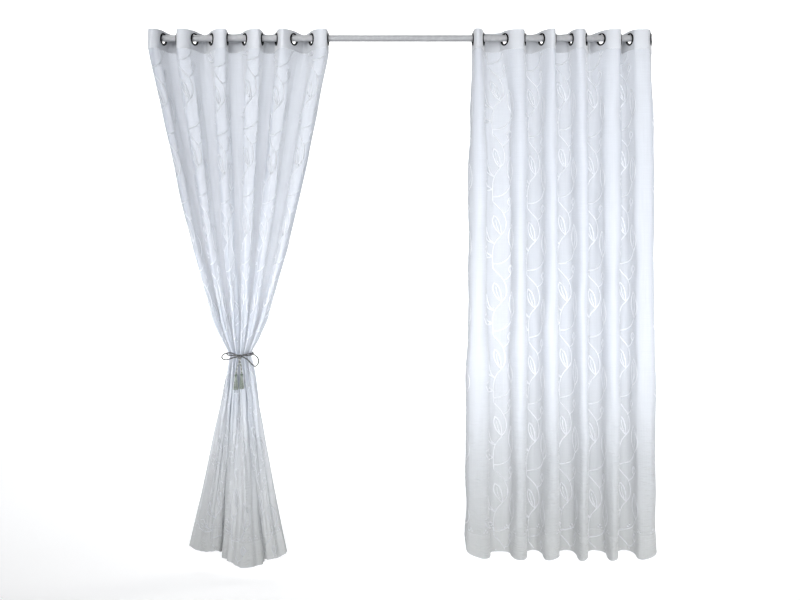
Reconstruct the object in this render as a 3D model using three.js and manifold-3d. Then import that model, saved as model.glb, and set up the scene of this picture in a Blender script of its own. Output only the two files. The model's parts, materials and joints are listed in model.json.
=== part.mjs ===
// A pair of sheer voile curtains with eyelet headings, hung on one plain round rod.
// The left curtain is gathered at its waist by a cord tied in a bow with two tassels.
// The right one hangs free.
// Millimetres. +X runs along the rod to the right, +Y towards the wall, +Z up.
// The origin is on the rod's axis, half way along it.
import * as THREE from 'three';
import { mergeVertices } from 'three/addons/utils/BufferGeometryUtils.js';
import Module from 'manifold-3d';

const wasm = await Module();
wasm.setup();

// ---------------------------------------------------------------- driving dimensions

const GAP = 0.3; // running gap between pieces that meet
const ROD = { radius: 14, wall: 1.2, halfLength: 1077, sides: 24 };
const PLUG = { flange: 3, spigot: 22, fit: GAP };
const CLOTH = {
  eyeletPitch: 135, // cloth from one eyelet to the next
  drop: 2253, // top edge to hem
  thick: 1.2,
  hemThick: 2.2,
  hemDepth: 95,
};
const RING = { inner: 20.5, outer: 27, thick: 6.5, drop: 4.4, sides: 16 };
const HEADING = {
  above: 37, // over and under the eyelets' middles
  below: 45.5,
  thick: 2,
  straight: 30, // flat stretch each side of an eyelet
  dip: 0.15, // how much its wall side sinks, for each millimetre behind the rod
};
const HEADING_TOP = HEADING.above - RING.drop;
const HEADING_FOOT = -HEADING.below - RING.drop;
const HEM_Z = HEADING_TOP - CLOTH.drop;

// Where each half fold's columns lie, as shares of the cloth between two eyelets.
// The first and last stretch are the flat ones that the rings clamp.
const FLAT_SHARE = HEADING.straight / CLOTH.eyeletPitch;
const FOLD_SHARES = [0, 1, 2, 3, 4].map((k) => FLAT_SHARE + (k * (1 - 2 * FLAT_SHARE)) / 4);
const SIDE_SHARE = 0.55;

// ---------------------------------------------------------------- how the cloth lies

// Eyelets from left to right: x along the rod, and lean, the degrees by which the cloth leans
// to the right of square to the rod as it passes through.
const LEFT_EYELETS = [
  { x: -1070, lean: -6 },
  { x: -1018, lean: 17 },
  { x: -958, lean: 8 },
  { x: -884, lean: 26 },
  { x: -810, lean: 31 },
  { x: -744, lean: -3 },
  { x: -667, lean: 33 },
  { x: -594, lean: 3 },
  { x: -530, lean: 19 },
  { x: -457, lean: 31 },
  { x: -380, lean: 28 },
  { x: -311, lean: 2 },
];
const RIGHT_EYELETS = [
  { x: 315, lean: 3 },
  { x: 358, lean: 12 },
  { x: 451, lean: 33 },
  { x: 536, lean: 12 },
  { x: 610, lean: 25 },
  { x: 666, lean: 5 },
  { x: 737, lean: 15 },
  { x: 800, lean: 18 },
  { x: 866, lean: 33 },
  { x: 947, lean: 8 },
  { x: 989, lean: 21 },
  { x: 1077, lean: 20 },
];

// The free side edges at the heading: x, y and the heading that the cloth has there.
const LEFT_SIDES = { start: { x: -1080, y: 64, turn: -80 }, end: { x: -317, y: 62, turn: 92 } };
const RIGHT_SIDES = { start: { x: 314, y: 64, turn: -86 }, end: { x: 1098, y: 58, turn: 60 } };
const EASED = { z: -265, share: 0.25 }; // where the soft cloth has lost most of the heading's lean

// A row of a section says where the cloth passes: x and y, turn, the way it runs there in degrees
// from +X with the room side negative, and cloth, how much of it lies between this row and the next.
function headingRows(eyelets, sides, share = 1) {
  const rows = eyelets.map(({ x, lean }, i) => ({
    x,
    y: 0,
    turn: i % 2 ? 90 - share * lean : share * lean - 90,
    cloth: CLOTH.eyeletPitch,
    flat: HEADING.straight,
  }));
  rows.at(-1).cloth = CLOTH.eyeletPitch / 2;
  return [{ ...sides.start, cloth: CLOTH.eyeletPitch / 2, flat: 0 }, ...rows, { ...sides.end, flat: 0 }];
}

// The gathered waist: the folds stand edge to edge in a rounded bundle.
const WAIST = { x: -687, width: 86, z: -1356, halfDepth: 46, halfWidth: 50 };

function waistRows() {
  const rows = LEFT_EYELETS.map((_, i) => {
    const x = WAIST.x + WAIST.width * (i / 11 - 0.5);
    const middle = (x + WAIST.width / 22 - WAIST.x) / WAIST.halfWidth;
    const depth = WAIST.halfDepth * Math.sqrt(Math.max(0.12, 1 - middle * middle));
    return { x, y: 0, turn: i % 2 ? 90 : -90, cloth: 2 * depth + 8, flat: 4 };
  });
  const last = rows.at(-1);
  last.cloth = 20;
  const start = { x: rows[0].x - 3, y: 16, turn: -90, cloth: 20, flat: 0 };
  return [start, ...rows, { x: last.x + 3, y: 16, turn: 90, flat: 0 }];
}

// The hem of the tied curtain, in three lobes with the rest folded away between them.
// lift: how much higher than the free curtain's hem it ends there.
const LEFT_HEM = [
  { x: -914, y: 32, turn: -16, cloth: 34, flat: 0, lift: 28 },
  { x: -882, y: 24, turn: -12, cloth: 46, flat: 4, lift: 12 },
  { x: -838, y: 18, turn: 0, cloth: 42, flat: 4, lift: 6 },
  { x: -798, y: 22, turn: 24, cloth: 40, flat: 4, lift: 10 },
  { x: -782, y: 50, turn: 82, cloth: 76, flat: 4, lift: -4 },
  { x: -766, y: 10, turn: -80, cloth: 78, flat: 4, lift: -4 },
  { x: -728, y: -56, turn: -54, cloth: 80, flat: 4, lift: -4 },
  { x: -666, y: -106, turn: -12, cloth: 64, flat: 4, lift: -16 },
  { x: -606, y: -92, turn: 46, cloth: 62, flat: 4, lift: -13 },
  { x: -587, y: -38, turn: 78, cloth: 58, flat: 4, lift: -16 },
  { x: -568, y: -36, turn: -68, cloth: 38, flat: 4, lift: -6 },
  { x: -541, y: -55, turn: -10, cloth: 36, flat: 4, lift: 3 },
  { x: -507, y: -50, turn: 20, cloth: 34, flat: 4, lift: 11 },
  { x: -482, y: -30, turn: 44, flat: 0, lift: 28 },
];

// The free curtain below its heading: where its flanks stand, left and right flank of each fold in turn.
const RIGHT_UPPER = { z: -300, xs: [306, 367, 480, 541, 618, 673, 748, 804, 868, 948, 1000, 1087] };
const RIGHT_FOOT = { xs: [283, 386, 480, 542, 614, 685, 758, 806, 884, 938, 1011, 1100] };
const RIGHT_LEANS = { front: 8, back: 2 };

function hangingRows({ xs }) {
  const cloth = CLOTH.eyeletPitch;
  const rows = xs.map((x, i) => ({
    x,
    y: 0,
    turn: i % 2 ? 90 - RIGHT_LEANS.back : RIGHT_LEANS.front - 90,
    cloth,
    flat: 12,
  }));
  rows.at(-1).cloth = cloth / 2;
  const start = { x: xs[0] + 4, y: 62, turn: -86, cloth: cloth / 2, flat: 0 };
  return [start, ...rows, { x: xs.at(-1) + 8, y: 60, turn: 80, flat: 0 }];
}

// ---------------------------------------------------------------- from rows to a section

const polar = (degrees) =>
  new THREE.Vector2(Math.cos((degrees * Math.PI) / 180), Math.sin((degrees * Math.PI) / 180));

// The cloth between two rows: flat, bend, flat. The bend's handles are as long as it takes
// for the whole stretch to hold its cloth.
function stretchBetween(a, b) {
  const [from, to] = [new THREE.Vector2(a.x, a.y), new THREE.Vector2(b.x, b.y)];
  const [out, into] = [polar(a.turn), polar(b.turn)];
  const start = from.clone().addScaledVector(out, a.flat);
  const end = to.clone().addScaledVector(into, -b.flat);
  const bend = (handle) =>
    new THREE.CubicBezierCurve(
      start,
      start.clone().addScaledVector(out, handle),
      end.clone().addScaledVector(into, -handle),
      end,
    );
  const wanted = a.cloth - a.flat - b.flat;
  let [low, high] = [2, 260];
  for (let k = 0; k < 24; k++) {
    const handle = (low + high) / 2;
    if (bend(handle).getLength() < wanted) low = handle;
    else high = handle;
  }
  const path = new THREE.CurvePath();
  if (a.flat) path.add(new THREE.LineCurve(from, start));
  path.add(bend(low));
  if (b.flat) path.add(new THREE.LineCurve(end, to));
  return path;
}

// A section as points [x, y], the same number whatever the level, so that sections can be blended.
function sectionOf(rows) {
  const points = [];
  for (let k = 0; k + 1 < rows.length; k++) {
    const path = stretchBetween(rows[k], rows[k + 1]);
    const side = k === 0 || k + 2 === rows.length;
    const shares = !side ? [0, ...FOLD_SHARES] : k === 0 ? [0, SIDE_SHARE] : [0, 1 - SIDE_SHARE];
    for (const share of shares) points.push(path.getPointAt(share));
  }
  const last = rows.at(-1);
  points.push(new THREE.Vector2(last.x, last.y));
  return points;
}

const blended = (a, b, share) => a.map((p, i) => p.clone().lerp(b[i], share));

// A value read from a table of [at, value] rows by straight lines between them.
function readOff(table, at) {
  let k = 1;
  while (k < table.length - 1 && at < table[k][0]) k++;
  const [[x0, y0], [x1, y1]] = [table[k - 1], table[k]];
  return y0 + ((y1 - y0) * (at - x0)) / (x1 - x0);
}

// ---------------------------------------------------------------- solids

// Closes a grid of points, rows of columns, into a sheet of the given thicknesses, one for each row.
function sheetSolid(grid, thicknesses) {
  const [rows, columns] = [grid.length, grid[0].length];
  const vertices = [];
  for (const side of [-0.5, 0.5]) {
    grid.forEach((line, r) => {
      line.forEach((point, c) => {
        const [before, after] = [line[Math.max(c - 1, 0)], line[Math.min(c + 1, columns - 1)]];
        const along = new THREE.Vector2(after.x - before.x, after.y - before.y).normalize();
        const offset = side * thicknesses[r];
        vertices.push(point.x - along.y * offset, point.y + along.x * offset, point.z);
      });
    });
  }
  const at = (side, r, c) => (side * rows + r) * columns + c;
  const faces = [];
  const quad = (a, b, c, d) => faces.push(a, b, c, a, c, d);
  for (let r = 0; r + 1 < rows; r++) {
    for (let c = 0; c + 1 < columns; c++) {
      quad(at(0, r, c), at(0, r + 1, c), at(0, r + 1, c + 1), at(0, r, c + 1));
      quad(at(1, r, c), at(1, r, c + 1), at(1, r + 1, c + 1), at(1, r + 1, c));
    }
    quad(at(0, r, 0), at(1, r, 0), at(1, r + 1, 0), at(0, r + 1, 0));
    const e = columns - 1;
    quad(at(0, r, e), at(0, r + 1, e), at(1, r + 1, e), at(1, r, e));
  }
  for (let c = 0; c + 1 < columns; c++) {
    quad(at(0, 0, c), at(0, 0, c + 1), at(1, 0, c + 1), at(1, 0, c));
    const f = rows - 1;
    quad(at(0, f, c), at(1, f, c), at(1, f, c + 1), at(0, f, c + 1));
  }
  const geometry = new THREE.BufferGeometry();
  geometry.setAttribute('position', new THREE.Float32BufferAttribute(vertices, 3));
  geometry.setIndex(faces);
  return geometry;
}

function toManifold(geometry) {
  const bare = geometry.clone();
  bare.deleteAttribute('normal');
  bare.deleteAttribute('uv');
  const merged = mergeVertices(bare, 1e-3);
  return new wasm.Manifold(
    new wasm.Mesh({
      numProp: 3,
      vertProperties: merged.attributes.position.array,
      triVerts: new Uint32Array(merged.index.array),
    }),
  );
}

function fromManifold(solid) {
  const { vertProperties, triVerts } = solid.getMesh();
  const geometry = new THREE.BufferGeometry();
  geometry.setAttribute('position', new THREE.BufferAttribute(vertProperties, 3));
  geometry.setIndex(new THREE.BufferAttribute(triVerts, 1));
  return geometry;
}

// Turns a profile of [radius, height] points, closed on itself, round the Y axis.
function turned(profile, sides) {
  const loop = [...profile, profile[0]].map(([r, h]) => new THREE.Vector2(r, h));
  return new THREE.LatheGeometry(loop, sides);
}

// A round cord along a smooth line through the points.
function cordGeometry(points, radius, steps, sides) {
  const section = new THREE.Shape();
  for (let k = 0; k < sides; k++) {
    const angle = (k / sides) * 2 * Math.PI;
    const corner = [radius * Math.cos(angle), radius * Math.sin(angle)];
    if (k) section.lineTo(...corner);
    else section.moveTo(...corner);
  }
  const extrudePath = new THREE.CatmullRomCurve3(points.map((p) => new THREE.Vector3(...p)));
  return new THREE.ExtrudeGeometry(section, { steps, extrudePath, bevelEnabled: false });
}

// ---------------------------------------------------------------- materials and meshes

const finish = (color, roughness, metalness = 0) =>
  new THREE.MeshStandardMaterial({ color, roughness, metalness });
const FINISHES = {
  rod: finish(0xc6c7cb, 0.4, 0.1),
  voile: finish(0xe4e8f2, 0.8),
  heading: finish(0xe9ecf4, 0.75),
  ring: finish(0x1d1f24, 0.3, 0.8),
  cord: finish(0x55575c, 0.85),
  tassel: finish(0xb4b7ab, 0.9),
};

const curtains = new THREE.Group();

function addMesh(name, geometry, material) {
  const mesh = new THREE.Mesh(geometry, material);
  mesh.name = name;
  curtains.add(mesh);
  return mesh;
}

// ---------------------------------------------------------------- rod

function addRod() {
  const { radius, wall, halfLength, sides } = ROD;
  const bore = radius - wall;
  const tube = turned(
    [
      [bore, -halfLength],
      [radius, -halfLength],
      [radius, halfLength],
      [bore, halfLength],
    ],
    sides,
  );
  addMesh('rod_tube', tube, FINISHES.rod).rotation.z = -Math.PI / 2;
  for (const [name, side] of [['rod_plug_left', 1], ['rod_plug_right', -1]]) {
    const spigot = bore - PLUG.fit;
    const plug = new THREE.LatheGeometry(
      [
        [0, -PLUG.spigot],
        [spigot, -PLUG.spigot],
        [spigot, PLUG.fit],
        [radius, PLUG.fit],
        [radius, PLUG.flange],
        [0, PLUG.flange],
      ].map(([r, h]) => new THREE.Vector2(r, h)),
      sides,
    );
    const mesh = addMesh(name, plug, FINISHES.rod);
    mesh.rotation.z = (side * Math.PI) / 2;
    mesh.position.x = -side * halfLength;
  }
}

// ---------------------------------------------------------------- headings and rings

const dipAt = (y) => HEADING.dip * Math.max(0, y);

function addHeading(side, eyelets, rows) {
  const line = sectionOf(rows);
  const grid = [HEADING_TOP, HEADING_FOOT].map((z) =>
    line.map((p) => new THREE.Vector3(p.x, p.y, z - dipAt(p.y))),
  );
  let strip = toManifold(sheetSolid(grid, [HEADING.thick, HEADING.thick]));
  const { inner, outer, thick, drop, sides } = RING;
  const hole = new THREE.CylinderGeometry(outer + GAP, outer + GAP, 3 * thick, sides);
  const ring = turned(
    [
      [inner, -thick / 2],
      [outer, -thick / 2],
      [outer, thick / 2],
      [inner, thick / 2],
    ],
    sides,
  );
  eyelets.forEach(({ x }, i) => {
    const angle = (rows[i + 1].turn * Math.PI) / 180;
    strip = strip.subtract(toManifold(hole.clone().rotateZ(angle).translate(x, 0, -drop)));
    const mesh = addMesh(`ring_${side}_${String(i + 1).padStart(2, '0')}`, ring, FINISHES.ring);
    mesh.rotation.z = angle;
    mesh.position.set(x, 0, -drop);
  });
  addMesh(`heading_${side}`, fromManifold(strip), FINISHES.heading);
}

// ---------------------------------------------------------------- panels

// How far the tied curtain has closed from heading to waist, and opened again from waist to hem, by height.
const GATHER = [
  [HEADING_FOOT, 0],
  [-93, 0.02],
  [-265, 0.125],
  [-480, 0.258],
  [-694, 0.394],
  [-909, 0.544],
  [-1124, 0.725],
  [-1210, 0.8],
  [-1296, 0.91],
  [WAIST.z, 1],
];
const FLARE = [
  [WAIST.z, 0],
  [-1395, 0.04],
  [-1468, 0.11],
  [-1639, 0.3],
  [-1811, 0.5],
  [-1983, 0.7],
  [HEM_Z, 1],
];
const LEFT_LEVELS = [
  HEADING_FOOT - GAP, -150, EASED.z, -530, -800, -1020, -1190, -1300, WAIST.z,
  -1400, -1480, -1640, -1850,
];
const RIGHT_LEVELS = [HEADING_FOOT - GAP, -150, RIGHT_UPPER.z, -760, -1240, -1720];
const HEM_SWING = 0.07; // how much lower the free curtain's hem ends, for each millimetre out into the room
const SIDE_CURL = 10; // and how much higher its bottom corners end

const hemLevels = [HEM_Z + CLOTH.hemDepth + 8, HEM_Z + CLOTH.hemDepth, HEM_Z];
const shareDown = (from, to, z) => THREE.MathUtils.clamp((from - z) / (from - to), 0, 1);

// Close under the heading the cloth follows its dip.
const follow = (z, y) => (1 - shareDown(HEADING_FOOT - GAP, EASED.z, z)) * dipAt(y);

// The lift that each column of a section takes from the rows of its table.
function liftsOf(rows, columns) {
  const starts = rows.map((_, k) => (k === 0 ? 0 : Math.min(6 * k - 4, columns)));
  starts[rows.length - 1] = columns;
  return Array.from({ length: columns + 1 }, (_, c) => {
    const k = Math.max(1, starts.findIndex((at) => at >= c));
    const share = (c - starts[k - 1]) / (starts[k] - starts[k - 1]);
    return THREE.MathUtils.lerp(rows[k - 1].lift, rows[k].lift, share);
  });
}

function addLeftPanel() {
  const top = sectionOf(headingRows(LEFT_EYELETS, LEFT_SIDES));
  const eased = sectionOf(headingRows(LEFT_EYELETS, LEFT_SIDES, EASED.share));
  const waist = sectionOf(waistRows());
  const hem = sectionOf(LEFT_HEM);
  const lifts = liftsOf(LEFT_HEM, top.length - 1);
  const levels = [...LEFT_LEVELS, ...hemLevels];
  const grid = levels.map((level) => {
    const soft = blended(top, eased, shareDown(HEADING_FOOT - GAP, EASED.z, level));
    const line =
      level < WAIST.z
        ? blended(waist, hem, readOff(FLARE, level))
        : blended(soft, waist, readOff(GATHER, Math.min(level, HEADING_FOOT)));
    const down = shareDown(WAIST.z, HEM_Z, level);
    return line.map(({ x, y }, c) => new THREE.Vector3(x, y, level - follow(level, y) + down * lifts[c]));
  });
  addMesh('panel_left', sheetSolid(grid, levels.map(thicknessAt)), FINISHES.voile);
}

function addRightPanel() {
  const top = sectionOf(headingRows(RIGHT_EYELETS, RIGHT_SIDES));
  const upper = sectionOf(hangingRows(RIGHT_UPPER));
  const foot = sectionOf(hangingRows(RIGHT_FOOT));
  const levels = [...RIGHT_LEVELS, ...hemLevels];
  const last = top.length - 1;
  const grid = levels.map((level) => {
    const soft = blended(top, upper, shareDown(HEADING_FOOT - GAP, RIGHT_UPPER.z, level));
    const line = blended(soft, foot, shareDown(RIGHT_UPPER.z, HEM_Z, level));
    return line.map(({ x, y }, c) => {
      const corner = Math.max(0, 1 - Math.min(c, last - c) / 2);
      const lift = level === HEM_Z ? HEM_SWING * y + SIDE_CURL * corner : 0;
      return new THREE.Vector3(x, y, level - follow(level, y) + lift);
    });
  });
  addMesh('panel_right', sheetSolid(grid, levels.map(thicknessAt)), FINISHES.voile);
}

const thicknessAt = (level) => (level <= HEM_Z + CLOTH.hemDepth ? CLOTH.hemThick : CLOTH.thick);

// ---------------------------------------------------------------- tie-back

const CORD = { radius: 3, sides: 8 };
const KNOT = { x: -678, y: -62, z: WAIST.z, halfWidth: 14, halfHeight: 7.5, halfDepth: 6 };

// Routes are offsets [x, y, z] from the middle of the knot.
const BOW_LEFT = [
  [-9, 0, 3.1],
  [-17, -1, 6],
  [-32, -5, 12],
  [-48, -6, 14],
  [-63, -3, 10],
  [-74, 2, 2],
  [-77, 4, -6],
  [-72, 2, -13],
  [-59, -2, -16],
  [-46, -4, -13],
  [-32, -4, -8],
  [-17, -1, -5],
  [-9, 0, -3.1],
];
const BOW_RIGHT = [
  [9, 0, 3.1],
  [17, -1, 5.5],
  [34, -5, 10],
  [51, -6, 11],
  [65, -4, 4],
  [76, 0, -8],
  [79, 2, -23],
  [75, 1, -36],
  [65, -3, -43],
  [53, -5, -35],
  [40, -5, -22],
  [29, -4, -12],
  [17, -1, -5.5],
  [9, 0, -3.1],
];
const TAIL_LEFT = [
  [4, -0.5, -3],
  [4, -2.5, -9],
  [3, -6, -15],
  [-1, -8, -23],
  [-5, -8.5, -34],
  [-9, -9, -48],
  [-12.5, -10, -62],
  [-15, -11, -74],
];
const TAIL_RIGHT = [
  [-4, 0, -3],
  [-4.2, -0.5, -9],
  [-3.6, -0.6, -15],
  [0.5, -1, -23],
  [4, -2.5, -34],
  [6, -5, -47],
  [8, -7.5, -60],
  [9.5, -9, -72],
];
const TASSEL = {
  headRadius: 6,
  headHeight: 11,
  length: 66,
  strandRadius: 0.75,
  rings: [
    { strands: 14, top: 4.9, foot: 10 },
    { strands: 8, top: 2.5, foot: 5.4 },
  ],
};

function addWrap() {
  const { radius } = CORD;
  const [halfX, halfY] = [WAIST.halfWidth + 3 + radius, WAIST.halfDepth + 5 + radius];
  const steps = 28;
  const points = Array.from({ length: steps }, (_, k) => {
    const angle = (k / steps) * 2 * Math.PI;
    return new THREE.Vector3(WAIST.x + halfX * Math.cos(angle), halfY * Math.sin(angle), WAIST.z);
  });
  const loop = new THREE.CatmullRomCurve3(points, true);
  const wrap = toManifold(new THREE.TubeGeometry(loop, steps, radius, CORD.sides, true));
  addMesh('tie_wrap', fromManifold(wrap.subtract(knotSolid(GAP))), FINISHES.cord);
}

// The knot: a flattened lump of three turns of cord.
function knotSolid(grown = 0) {
  const { x, y, z, halfWidth, halfHeight, halfDepth } = KNOT;
  const lumps = [-1, 0, 1].map((k) => {
    const lump = new THREE.SphereGeometry(1, 10, 6);
    lump.scale(halfWidth * 0.5 + grown, halfDepth + grown, halfHeight + grown);
    return toManifold(lump.rotateY(k * 0.25).translate(x + k * halfWidth * 0.5, y, z - Math.abs(k)));
  });
  return lumps.reduce((all, lump) => all.add(lump));
}

function addKnotAndBow() {
  const knot = knotSolid();
  const clear = knotSolid(GAP);
  addMesh('tie_knot', fromManifold(knot), FINISHES.cord);
  const cords = { bow_left: BOW_LEFT, bow_right: BOW_RIGHT, tail_left: TAIL_LEFT, tail_right: TAIL_RIGHT };
  for (const [name, route] of Object.entries(cords)) {
    const points = route.map(([x, y, z]) => [KNOT.x + x, KNOT.y + y, KNOT.z + z]);
    const steps = Math.round(1.7 * route.length);
    const cord = toManifold(cordGeometry(points, CORD.radius, steps, CORD.sides));
    addMesh(name, fromManifold(cord.subtract(clear)), FINISHES.cord);
  }
}

function addTassel(name, tail) {
  const [x, y, z] = tail.at(-1);
  const top = [KNOT.x + x, KNOT.y + y, KNOT.z + z - GAP - 0.7];
  const { headRadius, headHeight, length, strandRadius, rings } = TASSEL;
  const head = new THREE.LatheGeometry(
    [
      [0, -headHeight],
      [headRadius * 0.8, -headHeight],
      [headRadius, -headHeight * 0.55],
      [headRadius * 0.75, -headHeight * 0.12],
      [headRadius * 0.55, 0],
      [0, 0],
    ].map(([r, h]) => new THREE.Vector2(r, h)),
    12,
  );
  let tassel = toManifold(head.rotateX(Math.PI / 2));
  for (const { strands, top: atTop, foot } of rings) {
    for (let k = 0; k < strands; k++) {
      const angle = ((k + 0.5) / strands) * 2 * Math.PI;
      const at = (radius, height) => [radius * Math.cos(angle), radius * Math.sin(angle), height];
      const lower = 1 + 0.35 * Math.sin(3 * angle);
      const route = [
        at(atTop * 0.8, 2 - headHeight),
        at(atTop, -headHeight - 3),
        at((atTop + foot) / 2, -length / 2),
        at(foot, -length - lower),
      ];
      const strand = cordGeometry(route, strandRadius, 2, 3);
      tassel = tassel.add(toManifold(strand));
    }
  }
  addMesh(name, fromManifold(tassel.translate(top)), FINISHES.tassel);
}

// ---------------------------------------------------------------- assembly

addRod();
addHeading('left', LEFT_EYELETS, headingRows(LEFT_EYELETS, LEFT_SIDES));
addHeading('right', RIGHT_EYELETS, headingRows(RIGHT_EYELETS, RIGHT_SIDES));
addLeftPanel();
addRightPanel();
addWrap();
addKnotAndBow();
addTassel('tassel_left', TAIL_LEFT);
addTassel('tassel_right', TAIL_RIGHT);

export default curtains;
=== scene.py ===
# Sheer voile curtains with eyelet headings on a plain rod. The left one is gathered by a cord with
# a bow and tassels; the right one hangs free. Metres, +X along the rod, +Y to the window, +Z up.
import json
from math import atan2, cos, hypot, pi, radians, sin, sqrt

import bpy
import numpy as np
from mathutils import Matrix, Vector
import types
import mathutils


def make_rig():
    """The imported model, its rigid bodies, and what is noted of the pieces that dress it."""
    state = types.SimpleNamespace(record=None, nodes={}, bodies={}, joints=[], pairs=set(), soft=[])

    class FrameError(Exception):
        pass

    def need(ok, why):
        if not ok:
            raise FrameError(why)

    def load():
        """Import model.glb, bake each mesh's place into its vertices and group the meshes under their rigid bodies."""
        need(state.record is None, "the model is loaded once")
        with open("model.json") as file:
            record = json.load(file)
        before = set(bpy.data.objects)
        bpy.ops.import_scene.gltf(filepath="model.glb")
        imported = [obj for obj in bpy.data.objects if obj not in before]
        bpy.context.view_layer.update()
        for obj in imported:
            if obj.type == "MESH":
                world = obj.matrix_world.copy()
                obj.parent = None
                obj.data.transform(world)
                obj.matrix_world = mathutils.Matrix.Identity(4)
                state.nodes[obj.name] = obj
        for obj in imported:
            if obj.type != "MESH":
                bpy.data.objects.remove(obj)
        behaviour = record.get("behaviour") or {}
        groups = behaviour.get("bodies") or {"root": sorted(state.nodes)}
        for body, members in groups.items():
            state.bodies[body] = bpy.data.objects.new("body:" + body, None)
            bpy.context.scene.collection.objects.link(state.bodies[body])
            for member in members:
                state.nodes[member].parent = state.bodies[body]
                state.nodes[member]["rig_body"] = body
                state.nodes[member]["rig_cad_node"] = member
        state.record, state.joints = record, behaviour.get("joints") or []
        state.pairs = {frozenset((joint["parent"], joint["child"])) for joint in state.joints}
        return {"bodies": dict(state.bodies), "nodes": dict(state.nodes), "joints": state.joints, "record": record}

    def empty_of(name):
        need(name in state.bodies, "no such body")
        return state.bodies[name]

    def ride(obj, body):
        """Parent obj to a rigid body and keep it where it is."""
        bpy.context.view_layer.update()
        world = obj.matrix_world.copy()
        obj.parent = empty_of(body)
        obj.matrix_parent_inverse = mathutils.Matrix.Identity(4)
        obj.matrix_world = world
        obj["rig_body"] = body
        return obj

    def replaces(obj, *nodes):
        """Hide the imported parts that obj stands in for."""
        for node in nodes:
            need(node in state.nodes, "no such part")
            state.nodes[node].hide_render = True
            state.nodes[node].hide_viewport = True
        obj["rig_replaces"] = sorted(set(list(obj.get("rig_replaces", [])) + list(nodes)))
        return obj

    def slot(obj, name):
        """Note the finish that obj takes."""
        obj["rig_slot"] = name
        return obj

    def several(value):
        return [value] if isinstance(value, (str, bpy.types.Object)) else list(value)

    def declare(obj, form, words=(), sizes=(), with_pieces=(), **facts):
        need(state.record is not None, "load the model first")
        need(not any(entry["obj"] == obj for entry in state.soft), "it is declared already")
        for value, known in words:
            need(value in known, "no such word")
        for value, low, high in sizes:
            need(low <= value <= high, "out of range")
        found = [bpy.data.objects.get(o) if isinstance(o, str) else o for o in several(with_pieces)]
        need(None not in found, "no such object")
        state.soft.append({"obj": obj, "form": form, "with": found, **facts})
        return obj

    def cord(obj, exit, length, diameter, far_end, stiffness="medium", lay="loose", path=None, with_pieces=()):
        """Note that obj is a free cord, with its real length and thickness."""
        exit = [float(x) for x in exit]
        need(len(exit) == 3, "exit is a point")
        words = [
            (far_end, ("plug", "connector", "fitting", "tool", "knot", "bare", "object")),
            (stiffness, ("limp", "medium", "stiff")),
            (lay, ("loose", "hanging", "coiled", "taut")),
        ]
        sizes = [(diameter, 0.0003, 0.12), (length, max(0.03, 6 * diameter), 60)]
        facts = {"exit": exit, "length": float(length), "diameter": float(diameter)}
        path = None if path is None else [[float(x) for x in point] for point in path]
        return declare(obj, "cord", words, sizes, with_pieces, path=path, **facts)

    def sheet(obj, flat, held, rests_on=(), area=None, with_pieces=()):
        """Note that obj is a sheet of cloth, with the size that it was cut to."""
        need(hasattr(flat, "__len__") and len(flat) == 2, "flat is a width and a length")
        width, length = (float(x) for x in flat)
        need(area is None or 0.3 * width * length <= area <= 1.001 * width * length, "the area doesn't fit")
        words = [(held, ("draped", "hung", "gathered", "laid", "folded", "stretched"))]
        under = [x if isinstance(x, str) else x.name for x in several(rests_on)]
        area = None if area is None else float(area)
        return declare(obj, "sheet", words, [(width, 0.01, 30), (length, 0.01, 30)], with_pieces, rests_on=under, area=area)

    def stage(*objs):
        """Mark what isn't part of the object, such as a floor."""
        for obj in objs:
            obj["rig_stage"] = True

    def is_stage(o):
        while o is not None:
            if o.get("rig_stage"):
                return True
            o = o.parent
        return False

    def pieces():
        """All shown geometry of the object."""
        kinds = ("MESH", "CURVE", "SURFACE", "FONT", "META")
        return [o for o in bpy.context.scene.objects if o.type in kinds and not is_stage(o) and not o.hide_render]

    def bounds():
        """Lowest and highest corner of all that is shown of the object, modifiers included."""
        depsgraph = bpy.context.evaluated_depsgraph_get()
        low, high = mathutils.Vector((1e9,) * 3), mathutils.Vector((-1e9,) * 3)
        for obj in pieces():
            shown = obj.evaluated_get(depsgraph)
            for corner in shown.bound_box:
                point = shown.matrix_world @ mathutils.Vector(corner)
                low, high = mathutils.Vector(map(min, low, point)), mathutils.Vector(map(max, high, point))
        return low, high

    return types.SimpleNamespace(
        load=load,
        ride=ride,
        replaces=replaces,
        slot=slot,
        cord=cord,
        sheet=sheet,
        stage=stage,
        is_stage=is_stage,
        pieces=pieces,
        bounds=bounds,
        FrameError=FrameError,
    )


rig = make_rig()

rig.load()
CAD_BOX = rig.bounds()
MM = 0.001

# ---------------- driving sizes, as in the solids

GAP = 0.3 * MM
PITCH = 135 * MM  # cloth from one eyelet to the next
VALLEY_SHIFT = 12 * MM  # from the panel's edge to the middle of its first valley
EYELETS = 12
WIDTH = EYELETS * PITCH
RING_DROP = 4.4 * MM
HEADING_ABOVE = 37 * MM
HEADING_BELOW = 45.5 * MM
HEADING_DIP = 0.15
STRAIGHT = 30 * MM
HEADING_TOP = HEADING_ABOVE - RING_DROP
HEADING_FOOT = -HEADING_BELOW - RING_DROP
DROP = 2253 * MM
HEM_Z = HEADING_TOP - DROP
PANEL_TOP = HEADING_FOOT - GAP
PANEL_LENGTH = PANEL_TOP - HEM_Z
HEM_DEPTH = 95 * MM
SIDE_HEM = 24 * MM
WAIST_X = -687 * MM
WAIST_Z = -1356 * MM
WAIST_WIDTH = 86 * MM
WAIST_HALF = (50 * MM, 46 * MM)
WAIST_EDGE = (3, 16, 20)  # side edges at the waist: past the last fold, behind it, cloth between
WAIST_SLACK = 8
WAIST_LEAST = 0.12  # the shallowest fold there, squared, as a share of the bundle's depth
CREST_FLAT = 4  # millimetres of cloth that lie flat at the crest of a fold
EASED_Z = -265 * MM
EASED_SHARE = 0.25
UPPER_Z = -300 * MM
RIGHT_LEANS = (8, 2)
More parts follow.
